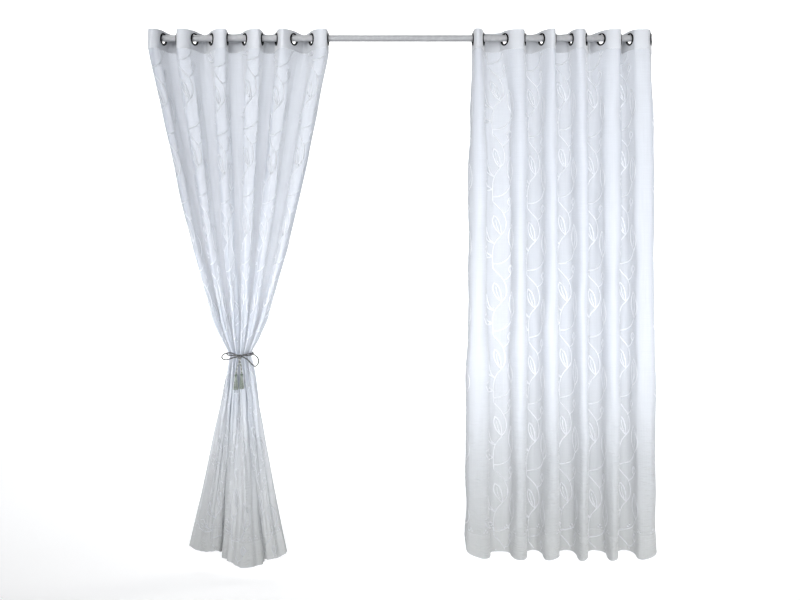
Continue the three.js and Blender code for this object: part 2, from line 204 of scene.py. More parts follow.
HEM_REACH = 350 * MM  # how far up the right curtain its hem's shape reaches
HEM_SWING = 0.07
SIDE_CURL = 80 * MM
CURL_REACH = (0.3, 0.9)  # folds in from a side edge, over which its curl dies away
HEM_TILT = 7 * MM  # how much higher the right half of each front fold ends than its left half

# Eyelets from left to right: millimetres along the rod, and the cloth's lean in degrees.
LEFT_EYELETS = [
    (-1070, -6), (-1018, 17), (-958, 8), (-884, 26), (-810, 31), (-744, -3),
    (-667, 33), (-594, 3), (-530, 19), (-457, 31), (-380, 28), (-311, 2),
]
RIGHT_EYELETS = [
    (315, 3), (358, 12), (451, 33), (536, 12), (610, 25), (666, 5),
    (737, 15), (800, 18), (866, 33), (947, 8), (989, 21), (1077, 20),
]
# Free side edges at the heading: x, y in millimetres and the way the cloth runs, in degrees.
LEFT_SIDES = ((-1080, 64, -80), (-317, 62, 92))
RIGHT_SIDES = ((314, 64, -86), (1098, 58, 60))
RIGHT_HANGING_SIDES = ((4, 62, -86), (8, 60, 80))  # below it, x from the nearest row
RIGHT_STRAIGHT = 12
RIGHT_UPPER = [306, 367, 480, 541, 618, 673, 748, 804, 868, 948, 1000, 1087]
RIGHT_FOOT = [283, 386, 480, 542, 614, 685, 758, 806, 884, 938, 1011, 1100]
# The tied curtain's hem: x, y, turn, cloth to the next row, and lift above the free hem.
LEFT_HEM = [
    (-914, 32, -16, 34, 28), (-882, 24, -12, 46, 12), (-838, 18, 0, 42, 6), (-798, 22, 24, 40, 10),
    (-782, 50, 82, 76, -4), (-766, 10, -80, 78, -4), (-728, -56, -54, 80, -4),
    (-666, -106, -12, 64, -16), (-606, -92, 46, 62, -13), (-587, -38, 78, 58, -16),
    (-568, -36, -68, 38, -6), (-541, -55, -10, 36, 3), (-507, -50, 20, 34, 11), (-482, -30, 44, 0, 28),
]
# How far the tied curtain has closed between heading and waist, and opened again below, by height.
GATHER = [(-50, 0), (-93, 0.02), (-265, 0.125), (-480, 0.258), (-694, 0.394), (-909, 0.544),
          (-1124, 0.725), (-1210, 0.8), (-1296, 0.91), (-1356, 1)]
FLARE = [(-1356, 0), (-1395, 0.04), (-1468, 0.11), (-1639, 0.3), (-1811, 0.5), (-1983, 0.7),
         (-2220.4, 1)]

# ---------------- camera

def add_camera():
    camera = bpy.data.objects.new("Camera", bpy.data.cameras.new("Camera"))
    bpy.context.scene.collection.objects.link(camera)
    camera.location = (0, -4.0, -0.738)
    camera.rotation_euler = (radians(90), 0, 0)
    camera.data.sensor_width = 36
    camera.data.lens = 41.86
    camera.data.shift_y = -0.1125
    bpy.context.scene.camera = camera


add_camera()

# ---------------- cloth sections

FOLD_POINTS = 28  # columns of cloth between two eyelets
BEND_STEPS = 48
HANDLES = (0.002, 0.26)  # the shortest and longest reach of a bend's handles
HANDLE_TRIES = 22


def polar(degrees):
    return np.array([cos(radians(degrees)), sin(radians(degrees))])


def row(x, y, turn, cloth, flat):
    """One place that a section passes: millimetres in, metres out."""
    return {"at": np.array([x, y]) * MM, "turn": turn, "cloth": cloth * MM, "flat": flat * MM}


def bend_points(start, out, into, end, handle):
    t = np.linspace(0, 1, BEND_STEPS)[:, None]
    a = start + out * handle
    b = end - into * handle
    return start * (1 - t) ** 3 + 3 * a * t * (1 - t) ** 2 + 3 * b * t ** 2 * (1 - t) + end * t ** 3


def round_angles(count):
    return np.linspace(0, 2 * pi, count, endpoint=False)


def unit(vectors):
    return vectors / np.maximum(np.linalg.norm(vectors, axis=-1, keepdims=True), 1e-12)


def distances(points):
    """How far along the line each of its points lies."""
    steps = np.linalg.norm(np.diff(points, axis=0), axis=1)
    return np.concatenate([[0], np.cumsum(steps)])


def run_length(points):
    return distances(points)[-1]


def even_points(points, count):
    """The same line with its points evenly spaced along it, without the last one."""
    along = distances(points)
    wanted = np.linspace(0, along[-1], count, endpoint=False)
    return np.stack([np.interp(wanted, along, points[:, k]) for k in range(points.shape[1])], axis=1)


def stretch(a, b, count):
    """Cloth between two rows: flat, bend, flat, as long as the first row's cloth."""
    out = polar(a["turn"])
    into = polar(b["turn"])
    start = a["at"] + out * a["flat"]
    end = b["at"] - into * b["flat"]
    wanted = a["cloth"] - a["flat"] - b["flat"]
    low, high = HANDLES
    for _ in range(HANDLE_TRIES):
        handle = (low + high) / 2
        if run_length(bend_points(start, out, into, end, handle)) < wanted:
            low = handle
        else:
            high = handle
    line = np.vstack([a["at"], bend_points(start, out, into, end, low), b["at"]])
    return even_points(line, count)


def section(rows):
    half = FOLD_POINTS // 2
    last = len(rows) - 2
    parts = [
        stretch(rows[k], rows[k + 1], half if k in (0, last) else FOLD_POINTS)
        for k in range(len(rows) - 1)
    ]
    return np.vstack(parts + [rows[-1]["at"]])


def fold_rows(places, sides, share=1.0, straight=STRAIGHT / MM):
    """A section that crosses the rod's line at each (x, lean), between two side edges."""
    pitch = PITCH / MM
    rows = []
    for i, (x, lean) in enumerate(places):
        turn = 90 - share * lean if i % 2 else share * lean - 90
        rows.append(row(x, 0, turn, pitch, straight))
    rows[-1]["cloth"] = PITCH / 2
    return [row(*sides[0], pitch / 2, 0), *rows, row(*sides[1], 0, 0)]


def waist_rows():
    """The gathered cloth inside the wrap: folds as deep as the bundle's oval is there."""
    rows = []
    middle_x, width = WAIST_X / MM, WAIST_WIDTH / MM
    half_width, half_depth = WAIST_HALF[0] / MM, WAIST_HALF[1] / MM
    gaps = EYELETS - 1
    for i in range(EYELETS):
        x = middle_x + width * (i / gaps - 0.5)
        middle = (x + width / (2 * gaps) - middle_x) / half_width
        depth = half_depth * sqrt(max(WAIST_LEAST, 1 - middle * middle))
        rows.append(row(x, 0, 90 if i % 2 else -90, 2 * depth + WAIST_SLACK, CREST_FLAT))
    out, back, cloth = WAIST_EDGE
    rows[-1]["cloth"] = cloth * MM
    first = row(rows[0]["at"][0] / MM - out, back, -90, cloth, 0)
    return [first, *rows, row(rows[-1]["at"][0] / MM + out, back, 90, 0, 0)]


def hem_rows():
    last = len(LEFT_HEM) - 1
    return [row(x, y, turn, cloth, 0 if k in (0, last) else CREST_FLAT)
            for k, (x, y, turn, cloth, _) in enumerate(LEFT_HEM)]


def hanging_rows(xs):
    """The right curtain below its heading, where the rings no longer turn it."""
    places = [(x, RIGHT_LEANS[i % 2]) for i, x in enumerate(xs)]
    (left, *left_way), (right, *right_way) = RIGHT_HANGING_SIDES
    sides = ((xs[0] + left, *left_way), (xs[-1] + right, *right_way))
    return fold_rows(places, sides, straight=RIGHT_STRAIGHT)


def share_down(start, end, z):
    """How much of the way from start to end z has gone, from 0 to 1."""
    return np.clip((start - z) / (start - end), 0, 1)


def dip_at(y):
    return HEADING_DIP * np.maximum(0, y)


class Cloth:
    """A sheet as a grid of points. u runs along its width and v down its length, both in metres."""

    def __init__(self, points, width, length):
        self.points = points
        self.rows, self.columns = points.shape[:2]
        self.width, self.length = width, length
        self.u = np.linspace(0, width, self.columns)
        self.v = np.linspace(0, length, self.rows)
        self.measure()

    def measure(self):
        across = np.gradient(self.points, axis=1)
        down = np.gradient(self.points, axis=0)
        self.normals = unit(np.cross(across, down))

    def push(self, offsets):
        """Moves each point along the cloth's own face."""
        self.points = self.points + self.normals * offsets[..., None]
        self.measure()

    def at(self, u, v, grid=None):
        """Points, or another grid's values, at cloth coordinates, between the grid's own points."""
        grid = self.points if grid is None else grid
        c = np.clip(np.asarray(u) / self.width, 0, 1) * (self.columns - 1)
        r = np.clip(np.asarray(v) / self.length, 0, 1) * (self.rows - 1)
        c0 = np.minimum(c.astype(int), self.columns - 2)
        r0 = np.minimum(r.astype(int), self.rows - 2)
        fc, fr = (c - c0)[..., None], (r - r0)[..., None]
        upper = grid[r0, c0] * (1 - fc) + grid[r0, c0 + 1] * fc
        lower = grid[r0 + 1, c0] * (1 - fc) + grid[r0 + 1, c0 + 1] * fc
        return upper * (1 - fr) + lower * fr

    def normal_at(self, u, v):
        return self.at(u, v, self.normals)


def crease_field(cloth, creases):
    """Soft ridges and troughs, leaning from straight down the cloth."""
    uu, vv = np.meshgrid(cloth.u / MM, cloth.v / MM)
    field = np.zeros_like(uu)
    for u, v, lean, length, width, height in creases:
        along_u, along_v = sin(radians(lean)), cos(radians(lean))
        along = (uu - u) * along_u + (vv - v) * along_v
        aside = (uu - u) * along_v - (vv - v) * along_u
        ends = np.clip(1 - (2 * along / length) ** 2, 0, 1)
        field += height * MM * ends * np.exp(-((aside / width) ** 2))
    return field


WHOLE_TURN = 6.3


def ripples(cloth, pitch, seed):
    """Uneven pleats down the cloth, between -1 and 1, whose strength and place wander."""
    draw = np.random.default_rng(seed)
    uu, vv = np.meshgrid(cloth.u, cloth.v)
    sway = sum(
        draw.uniform(0.15, 0.3) * np.sin(2 * pi * (vv / length + uu / wide) + draw.uniform(0, WHOLE_TURN))
        for length, wide in ((0.9, 1.1), (0.47, 0.6), (1.7, 0.38)))
    wander = 2 * pi * uu / (pitch * 4.7) + 2 * sway + draw.uniform(0, WHOLE_TURN)
    return (0.62 + 0.38 * np.sin(wander)) * np.sin(2 * pi * uu / pitch + 3 * sway)

# ---------------- the two panels

PANEL_ROWS = 190
PANEL_HEIGHTS = PANEL_TOP + (HEM_Z - PANEL_TOP) * np.linspace(0, 1, PANEL_ROWS)


def share_at(table, z):
    """The share that a table of (height in millimetres, share) gives at a height."""
    heights, shares = zip(*table)
    return np.interp(-z / MM, [-height for height in heights], shares)


def follow_dip(line, z):
    """How far the cloth below the heading still follows the heading's dip."""
    return (1 - share_down(PANEL_TOP, EASED_Z, z)) * dip_at(line[:, 1])


def left_lifts(columns):
    """How far each column of the tied curtain ends above the free hem."""
    starts = [0] + [FOLD_POINTS // 2 + FOLD_POINTS * k for k in range(len(LEFT_HEM) - 2)] + [columns - 1]
    return np.interp(np.arange(columns), starts, [r[4] * MM for r in LEFT_HEM])


def left_cloth():
    top = section(fold_rows(LEFT_EYELETS, LEFT_SIDES))
    eased = section(fold_rows(LEFT_EYELETS, LEFT_SIDES, EASED_SHARE))
    waist = section(waist_rows())
    hem = section(hem_rows())
    lifts = left_lifts(len(top))
    lines = []
    for z in PANEL_HEIGHTS:
        if z < WAIST_Z:
            line = waist + (hem - waist) * share_at(FLARE, z)
        else:
            soft = top + (eased - top) * share_down(PANEL_TOP, EASED_Z, z)
            line = soft + (waist - soft) * share_at(GATHER, z)
        height = z - follow_dip(line, z) + share_down(WAIST_Z, HEM_Z, z) * lifts
        lines.append(np.column_stack([line, height]))
    return Cloth(np.array(lines), WIDTH, PANEL_LENGTH)


def hem_tilt(columns):
    """Lifts one half of a front fold's hem and lowers the other: the first fold against the rest."""
    fold = np.arange(columns) / FOLD_POINTS - 0.5
    inside = np.clip(fold % 2, 0, 1)
    share = np.interp(fold, [0, 0.001, 1, 2, 3, 4], [0, -1, -1, 0, 0, 1])
    return -HEM_TILT * share * np.sin(2 * pi * inside)


def right_cloth():
    top = section(fold_rows(RIGHT_EYELETS, RIGHT_SIDES))
    upper = section(hanging_rows(RIGHT_UPPER))
    foot = section(hanging_rows(RIGHT_FOOT))
    edge = np.minimum(np.arange(len(top)), len(top) - 1 - np.arange(len(top))) / FOLD_POINTS
    corner = (1 - share_down(*CURL_REACH, edge)) ** 2
    tilt = hem_tilt(len(top))
    lines = []
    for z in PANEL_HEIGHTS:
        soft = top + (upper - top) * share_down(PANEL_TOP, UPPER_Z, z)
        line = soft + (foot - soft) * share_down(UPPER_Z, HEM_Z, z)
        near_hem = share_down(HEM_Z + HEM_REACH, HEM_Z, z) ** 2
        shaped = HEM_SWING * line[:, 1] + SIDE_CURL * corner + tilt
        height = z - follow_dip(line, z) + near_hem * shaped
        lines.append(np.column_stack([line, height]))
    return Cloth(np.array(lines), WIDTH, PANEL_LENGTH)


# Creases, in millimetres and degrees: u, v, lean, length, width, height.
LEFT_CREASES = [
    (220, 1160, 3, 340, 10, 3), (370, 1100, -2, 300, 9, -3), (510, 1200, 2, 260, 10, 3),
    (660, 1050, -3, 420, 11, 4), (790, 1150, 2, 300, 10, -3), (930, 1120, -2, 360, 10, 3),
    (1080, 1180, 3, 280, 9, 3), (1200, 1080, -4, 400, 11, -4), (1350, 1140, 3, 320, 10, 3),
    (700, 1620, 6, 500, 16, 5), (830, 1700, -5, 460, 18, -4), (970, 1660, 8, 550, 15, 5),
    (140, 1740, -6, 440, 16, 4), (300, 1800, 5, 400, 14, -4), (1370, 1720, -7, 520, 15, 5),
    (1480, 1800, 4, 400, 14, 4), (100, 420, 18, 320, 20, 2), (610, 500, -22, 340, 18, 2),
    (980, 380, 20, 300, 20, 2), (1420, 550, -18, 360, 18, 2),
]
RIGHT_CREASES = [
    (90, 600, 4, 700, 16, 3), (330, 300, -6, 400, 14, 3), (350, 1350, 3, 900, 17, -3),
    (600, 800, -3, 800, 15, 3), (630, 1800, 5, 500, 16, 3), (880, 450, 6, 500, 15, -3),
    (900, 1500, -4, 800, 18, 3), (1150, 700, 3, 900, 15, 3), (1170, 1750, -5, 500, 16, -3),
    (1420, 500, -3, 700, 16, 3), (1440, 1550, 4, 800, 17, 3), (1550, 1950, -8, 300, 14, 4),
    (120, 2020, 14, 220, 14, 4), (470, 2000, -12, 200, 13, 3),
]


PINCH_REACH = 90 * MM  # the tie holds the cloth still this near to it
GATHER_REACH = 300 * MM
# How far the tied curtain ripples on the fronts of its folds, and how much more on their flanks.
TIE_PLEATS = (3.0 * MM, 4.5 * MM)
UPPER_RIPPLES = (1.4 * MM, 6.5 * MM)
SKIRT_RIPPLES = (1.6 * MM, 9.5 * MM)
FINE_PLEATS = 1.6 * MM
RIPPLE_FADE = 400 * MM  # below the heading, over which ripples grow to their full size
# The free curtain's slow sideways sway: height, wavelength and phase.
SWAYS = ((3.5 * MM, 0.93, 0.6), (2.0 * MM, 0.41, 2.0), (1.2 * MM, 0.23, 4.0))
SWAY_FADE = 350 * MM
SWAY_SLANT = 0.35
SWAY_PITCH = 310 * MM


def finish_left(cloth):
    v = cloth.v[:, None]
    waist_v = PANEL_TOP - WAIST_Z
    away = np.abs(v - waist_v)
    pinch = 1 - np.exp(-((away / PINCH_REACH) ** 2))
    near_waist = np.exp(-((away / GATHER_REACH) ** 2)) * pinch
    flank = 1 - np.abs(cloth.normals[..., 1])
    sizes = (TIE_PLEATS, UPPER_RIPPLES, SKIRT_RIPPLES)
    pleats, upper, skirt = (front + more * flank for front, more in sizes)
    cloth.push(near_waist * pleats * ripples(cloth, PITCH / 3, seed=3))
    cloth.push(near_waist * FINE_PLEATS * ripples(cloth, PITCH / 5.3, seed=11))
    loose = np.where(v > waist_v, skirt, upper) * np.clip(v / RIPPLE_FADE, 0, 1)
    cloth.push(loose * pinch * ripples(cloth, PITCH / 1.6, seed=5))
    cloth.push(crease_field(cloth, LEFT_CREASES) * pinch)


def finish_right(cloth):
    uu, vv = np.meshgrid(cloth.u, cloth.v)
    fade = np.clip(vv / SWAY_FADE, 0, 1)
    slant = vv + SWAY_SLANT * uu
    sway = sum(height * np.sin(2 * pi * slant / length + phase) for height, length, phase in SWAYS)
    cloth.points[..., 0] += fade * sway * np.sin(2 * pi * uu / SWAY_PITCH + 1)
    cloth.measure()
    cloth.push(fade * FINE_PLEATS * ripples(cloth, PITCH / 2.3, seed=5))
    cloth.push(crease_field(cloth, RIGHT_CREASES) * fade)

# ---------------- meshes

def band_faces(rows, columns, rows_close=False, columns_close=True):
    """Faces between neighbouring rows of points. Rows or columns that close join their ends."""
    faces = []
    for k in range(rows if rows_close else rows - 1):
        here, after = k * columns, (k + 1) % rows * columns
        for j in range(columns if columns_close else columns - 1):
            beside = (j + 1) % columns
            faces.append((here + j, after + j, after + beside, here + beside))
    return faces


def mesh_piece(name, verts, faces, uvs=None):
    mesh = bpy.data.meshes.new(name)
    mesh.from_pydata([tuple(v) for v in verts], [], [tuple(f) for f in faces])
    if uvs is not None:
        layer = mesh.uv_layers.new(name="Cloth")
        loops = np.empty(len(mesh.loops), dtype=np.int32)
        mesh.loops.foreach_get("vertex_index", loops)
        layer.data.foreach_set("uv", uvs[loops].astype(np.float32).ravel())
    mesh.polygons.foreach_set("use_smooth", [True] * len(mesh.polygons))
    mesh.update()
    piece = bpy.data.objects.new(name, mesh)
    bpy.context.scene.collection.objects.link(piece)
    return piece


def panel_mesh(name, cloth, top_v):
    """A single-layer mesh of the sheet with its cloth coordinates, in metres, as a UV map."""
    faces = band_faces(cloth.rows, cloth.columns, columns_close=False)
    uu, vv = np.meshgrid(cloth.u, cloth.v + top_v)
    uvs = np.column_stack([uu.ravel(), vv.ravel()])
    return mesh_piece(name, cloth.points.reshape(-1, 3), faces, uvs)


def dress(piece, material, slot_name, *nodes):
    """Gives a piece its finish, its slot, the nodes it stands for, and the body it moves with."""
    piece.data.materials.append(material)
    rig.slot(piece, slot_name)
    if nodes:
        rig.replaces(piece, *nodes)
    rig.ride(piece, "root")
    return piece

# ---------------- material helpers

SOCKETS = {1: "NodeSocketFloat", 3: "NodeSocketVector", 4: "NodeSocketColor"}
ORIGIN = (0, 0, 0)
WHITE = (1, 1, 1, 1)


class Nodes:
    """Short calls for building a node tree."""

    def __init__(self, tree):
        self.tree = tree

    def add(self, kind, values=None, **settings):
        node = self.tree.nodes.new("ShaderNode" + kind)
        for key, value in settings.items():
            setattr(node, key, value)
        for key, value in (values or {}).items():
            if isinstance(value, bpy.types.NodeSocket):
                self.link(value, node.inputs[key])
            else:
                node.inputs[key].default_value = value
        return node

    def link(self, a, b):
        self.tree.links.new(a, b)

    def math(self, operation, a, b=0.0, clamp=False):
        return self.add("Math", {0: a, 1: b}, operation=operation, use_clamp=clamp).outputs[0]

    def times(self, a, b):
        return self.math("MULTIPLY", a, b)

    def minus(self, a, b):
        return self.math("SUBTRACT", a, b)

    def ramp(self, value, low, high, to_low=0.0, to_high=1.0):
        return self.add("MapRange", {0: value, 1: low, 2: high, 3: to_low, 4: to_high}).outputs[0]

    def blend(self, share, a, b):
        return self.add("Mix", {0: share, 6: a, 7: b}, data_type="RGBA").outputs[2]

    def shade(self, colour, value):
        return self.add("HueSaturation", {"Color": colour, "Value": value}).outputs[0]

    def split(self, vector):
        return list(self.add("SeparateXYZ", {0: vector}).outputs)

    def noise(self, place, scale, detail):
        return self.add("TexNoise", {"Vector": place, "Scale": scale, "Detail": detail}).outputs[0]

    def streaks(self, across, down, fine_across, fine_down, detail):
        """Noise drawn out into streaks, with its own fineness across the cloth and down it."""
        place = {0: self.times(across, fine_across), 1: self.times(down, fine_down)}
        return self.noise(self.add("CombineXYZ", place).outputs[0], 1.0, detail)

    def group(self, tree, values=None):
        return self.add("Group", values, node_tree=tree).outputs

    def place(self):
        """Where a point lies in the object's own metres."""
        return self.add("TexCoord").outputs["Object"]

    def bump(self, height, strength, distance, **under):
        """A Bump's normal, laid over another one given as Normal."""
        values = {"Height": height, "Strength": strength, "Distance": distance, **under}
        return self.add("Bump", values).outputs[0]

    def surface(self, colour, roughness, normal, sheen=0.0, shine=0.5):
        return self.add("BsdfPrincipled", {
            "Base Color": colour, "Roughness": roughness, "Normal": normal,
            "Sheen Weight": sheen, "Sheen Roughness": 0.5, "Specular IOR Level": shine,
        }).outputs[0]

    def mix(self, share, a, b):
        return self.add("MixShader", {0: share, 1: a, 2: b}).outputs[0]

    def clear(self):
        return self.add("BsdfTransparent").outputs[0]


def new_group(name, inputs, outputs):
    """A shader node group. Its sockets are given by name, each with its default."""
    tree = bpy.data.node_groups.new(name, "ShaderNodeTree")
    for way, sockets in (("INPUT", inputs), ("OUTPUT", outputs)):
        for label, default in sockets.items():
            kind = SOCKETS[np.size(default)]
            tree.interface.new_socket(label, in_out=way, socket_type=kind).default_value = default
    given = tree.nodes.new("NodeGroupInput").outputs
    return Nodes(tree), given, tree.nodes.new("NodeGroupOutput").inputs


def weave_group():
    """A plain open weave with uneven threads: how much the yarn covers, and its height."""
    n, given, out = new_group(
        "Open weave",
        {"Cloth": ORIGIN, "Threads per metre": 1400.0, "Cover": 0.7, "Unevenness": 0.1},
        {"Cover": 0.0, "Height": 0.0})
    across, down, _ = n.split(given["Cloth"])
    turn = n.times(given["Threads per metre"], 2 * pi)
    warp = n.math("SINE", n.times(across, turn))
    weft = n.math("SINE", n.times(down, turn))
    cross = n.times(n.math("ADD", warp, weft), 0.25)
    thick_warp = n.streaks(across, down, 260.0, 5.0, 3.0)
    slubs = n.streaks(across, down, 9.0, 420.0, 2.0)
    uneven = n.minus(n.math("ADD", thick_warp, slubs), 1.0)
    height = n.math("ADD", cross, uneven)
    swelling = n.times(height, given["Unevenness"])
    n.link(n.math("ADD", given["Cover"], swelling, clamp=True), out["Cover"])
    n.link(height, out["Height"])
    return n.tree


def doubling_group():
    """Where the cloth is doubled: the deep bottom hem and the narrow side hems."""
    n, given, out = new_group(
        "Doubled hems",
        {"Cloth": ORIGIN, "Hem top": DROP - HEM_DEPTH, "Side hem": SIDE_HEM},
        {"Doubled": 0.0})
    across, down, _ = n.split(given["Cloth"])
    in_hem = n.math("GREATER_THAN", down, given["Hem top"])
    left = n.math("LESS_THAN", across, given["Side hem"])
    right = n.math("GREATER_THAN", across, n.minus(WIDTH, given["Side hem"]))
    n.link(n.math("MAXIMUM", in_hem, n.math("MAXIMUM", left, right)), out["Doubled"])
    return n.tree


def tone_group():
    """Tone down the cloth and across it: darker towards the foot by painted shade, and a slow random mottling."""
    n, given, out = new_group(
        "Slow tone",
        {"Cloth": ORIGIN, "Upper colour": WHITE, "Shaded lower colour": WHITE, "From": 1.4, "To": 2.35,
         "Mottling": 0.04},
        {"Colour": WHITE})
    down = n.ramp(n.split(given["Cloth"])[1], given["From"], given["To"])
    # Painted shade: the upper colour gives way to the darker lower colour towards the foot.
    base = n.blend(down, given["Upper colour"], given["Shaded lower colour"])
    dark = n.times(n.noise(given["Cloth"], 3.1, 4.0), given["Mottling"])
    n.link(n.shade(base, n.minus(1.0, dark)), out["Colour"])
    return n.tree


def crinkle_group():
    """Small level creases over the front of each fold, low down where the cloth has been pressed."""
    n, given, out = new_group(
        "Level crinkles", {"Cloth": ORIGIN, "From": 1.5, "To": 1.85}, {"Height": 0.0})
    across, down, _ = n.split(given["Cloth"])
    turn = n.times(n.minus(across, VALLEY_SHIFT), pi / PITCH)
    front = n.times(n.minus(1.0, n.math("COSINE", turn)), 0.5)
    low = n.ramp(down, given["From"], given["To"])
    share = n.times(n.math("POWER", front, 2.0), low)
    level = n.streaks(across, down, 22.0, 125.0, 2.0)
    n.link(n.times(share, level), out["Height"])
    return n.tree


def depth_group():
    """How deep in its folds the cloth lies: 0 at their fronts and 1 at their backs, the mask for painted shade in the
    backs.
    """
    n, given, out = new_group("Depth in the folds", {"Front": -0.05, "Back": 0.045}, {"Depth": 0.0})
    y = n.split(n.place())[1]
    n.link(n.ramp(y, given["Front"], given["Back"]), out["Depth"])
    return n.tree


def yarn_group():
    """Fine fibres along a cord or strand: a mask of light and dark plies, and their height."""
    n, given, out = new_group("Yarn plies", {"Scale": 900.0, "Contrast": 0.5},
                              {"Mask": 0.0, "Height": 0.0})
    place = n.place()
    fine = n.noise(place, given["Scale"], 3.0)
    coarse = n.noise(place, 130.0, 2.0)
    mask = n.ramp(n.times(n.math("ADD", fine, coarse), 0.5), 0.35, 0.65)
    n.link(n.times(mask, given["Contrast"]), out["Mask"])
    n.link(fine, out["Height"])
    return n.tree


WEAVE = weave_group()
DOUBLING = doubling_group()
TONE = tone_group()
CRINKLES = crinkle_group()
DEPTH = depth_group()
YARN = yarn_group()


def new_material(name):
    material = bpy.data.materials.new(name)
    material.use_nodes = True
    material.node_tree.nodes.clear()
    nodes = Nodes(material.node_tree)
    return material, nodes, nodes.add("OutputMaterial").inputs[0]


def sheer(name, upper, lower, cover, doubled_cover, unevenness, glow, relief, fold_back_shade):
    """Voile: an open weave that lets the light behind it through."""
    material, n, out = new_material(name)
    cloth = n.add("UVMap", uv_map="Cloth").outputs[0]
    doubled = n.group(DOUBLING, {"Cloth": cloth})["Doubled"]
    wanted = n.ramp(doubled, 0.0, 1.0, cover, doubled_cover)
    weave = n.group(WEAVE, {"Cloth": cloth, "Cover": wanted, "Unevenness": unevenness})
    # The tone is darker towards the foot: painted shade.
    tone = n.group(TONE, {"Cloth": cloth, "Upper colour": upper, "Shaded lower colour": lower})["Colour"]
    pressed = n.bump(n.group(CRINKLES, {"Cloth": cloth})["Height"], 1.0, 0.011)
    normal = n.bump(weave["Height"], relief, 0.0006, Normal=pressed)
    # Painted shade: the colour darkens towards the backs of the folds, where less light reaches.
    colour = n.shade(tone, n.ramp(n.group(DEPTH)["Depth"], 0.0, 1.0, 1.0, fold_back_shade))
    face = n.surface(colour, 0.62, normal, sheen=1.0, shine=0.3)
    through = n.add("BsdfTranslucent", {"Color": colour, "Normal": normal}).outputs[0]
    n.link(n.mix(weave["Cover"], n.clear(), n.mix(glow, face, through)), out)
    return material


def thread(name, colour, glow, foot_shade=0.70, roughness=0.45):
    """Satin embroidery and sewing thread, darkened towards the foot of the curtain by painted shade."""
    material, n, out = new_material(name)
    yarn = n.group(YARN, {"Scale": 1500.0, "Contrast": 0.12})
    dark = tuple(0.8 * c for c in colour[:3]) + (1,)
    spun = n.blend(yarn["Mask"], colour, dark)
    height = n.split(n.place())[2]
    # Painted shade: the thread darkens lower down the curtain.
    tint = n.shade(spun, n.ramp(height, -1.25, -2.0, 1.0, foot_shade))
    face = n.surface(tint, roughness, n.bump(yarn["Height"], 0.3, 0.0003), sheen=1.0)
    through = n.add("BsdfTranslucent", {"Color": tint}).outputs[0]
    n.link(n.mix(glow, face, through), out)
    return material


def fibre(name, light, dark, contrast, scale=900.0):
    """Twisted yarn for the tie and its tassels: dark, with plies and strands of the lighter tone."""
    material, n, out = new_material(name)
    yarn = n.group(YARN, {"Scale": scale, "Contrast": contrast})
    tone = n.split(n.add("UVMap", uv_map="Cloth").outputs[0])[0]
    tint = n.blend(yarn["Mask"], n.blend(tone, dark, light), dark)
    n.link(n.surface(tint, 0.7, n.bump(yarn["Height"], 0.5, 0.0005), sheen=0.3), out)
    return material


def metal(name, colour, roughness, shine, scratch_scale):
    """Painted or plated metal with faint handling marks."""
    material, n, out = new_material(name)
    marks = n.noise(n.place(), scratch_scale, 5.0)
    rough = n.ramp(marks, 0.3, 0.7, roughness * 0.8, roughness * 1.25)
    worn = tuple(min(1, 1.25 * c + 0.004) for c in colour[:3]) + (1,)
    tint = n.blend(n.ramp(marks, 0.45, 0.8), colour, worn)
    n.link(n.surface(tint, rough, n.bump(marks, 0.08, 0.0004), shine=shine), out)
    return material


# The lower colour is painted shade towards the foot, and the last factor paints shade into the backs of the folds.
VOILE = sheer("Voile", upper=(0.80, 0.84, 0.91, 1), lower=(0.57, 0.58, 0.565, 1), cover=0.74,
              doubled_cover=0.81, unevenness=0.10, glow=0.48, relief=0.35, fold_back_shade=0.84)
HEADING_WHITE = (0.74, 0.765, 0.81, 1)
# The heading's backs, behind and under the rod, are darkened by painted shade.
HEADING_CLOTH = sheer("Heading cloth", upper=HEADING_WHITE, lower=HEADING_WHITE, cover=0.98,
                      doubled_cover=0.99, unevenness=0.03, glow=0.20, relief=0.3, fold_back_shade=0.70)
# The last number of each vine thread, and the default for sewing thread, is painted shade towards the foot.
VINE_THREAD = thread("Vine thread", (0.73, 0.755, 0.80, 1), 0.15, 0.66)
# The same thread as the free curtain's, given its own colour and glow for the light on the tied curtain: painted
# light.
TIED_VINE_THREAD = thread("Vine thread of the tied curtain", (0.74, 0.77, 0.82, 1), 0.25, 0.67)
SEWING_THREAD = thread("Sewing thread", (0.86, 0.88, 0.92, 1), 0.15, roughness=0.6)
CORD_YARN = fibre("Cord yarn", (0.11, 0.11, 0.115, 1), (0.012, 0.013, 0.013, 1), 0.45)
TAIL_YARN = fibre("Tail yarn", (0.58, 0.59, 0.57, 1), (0.06, 0.065, 0.06, 1), 0.4)
TASSEL_YARN = fibre("Tassel yarn", (0.50, 0.52, 0.49, 1), (0.05, 0.075, 0.055, 1), 0.55, 260.0)
ROD_PAINT = metal("Rod paint", (0.36, 0.365, 0.38, 1), 0.6, 0.4, 60.0)
GUNMETAL = metal("Gunmetal", (0.005, 0.005, 0.006, 1), 0.38, 0.09, 150.0)

# ---------------- cloth pieces

HEADING_ROWS = 28
HOLE_RADIUS = 23.6 * MM
HOLE_CUT = 1.2 * MM  # points this far inside a hole's edge are cut away
HOLE_PULL = 2.8 * MM  # points this far outside it may be pulled in to it
HEADING_HALF = 0.75 * MM


def heading_cloth(eyelets, sides):
    line = section(fold_rows(eyelets, sides))
    heights = np.linspace(HEADING_TOP, HEADING_FOOT, HEADING_ROWS)
    points = np.array([np.column_stack([line, z - dip_at(line[:, 1])]) for z in heights])
    return Cloth(points, WIDTH, HEADING_TOP - HEADING_FOOT)


def any_corner(marked):
    """Whether any of four neighbours in the grid is marked."""
    return marked[:-1, :-1] | marked[1:, :-1] | marked[:-1, 1:] | marked[1:, 1:]


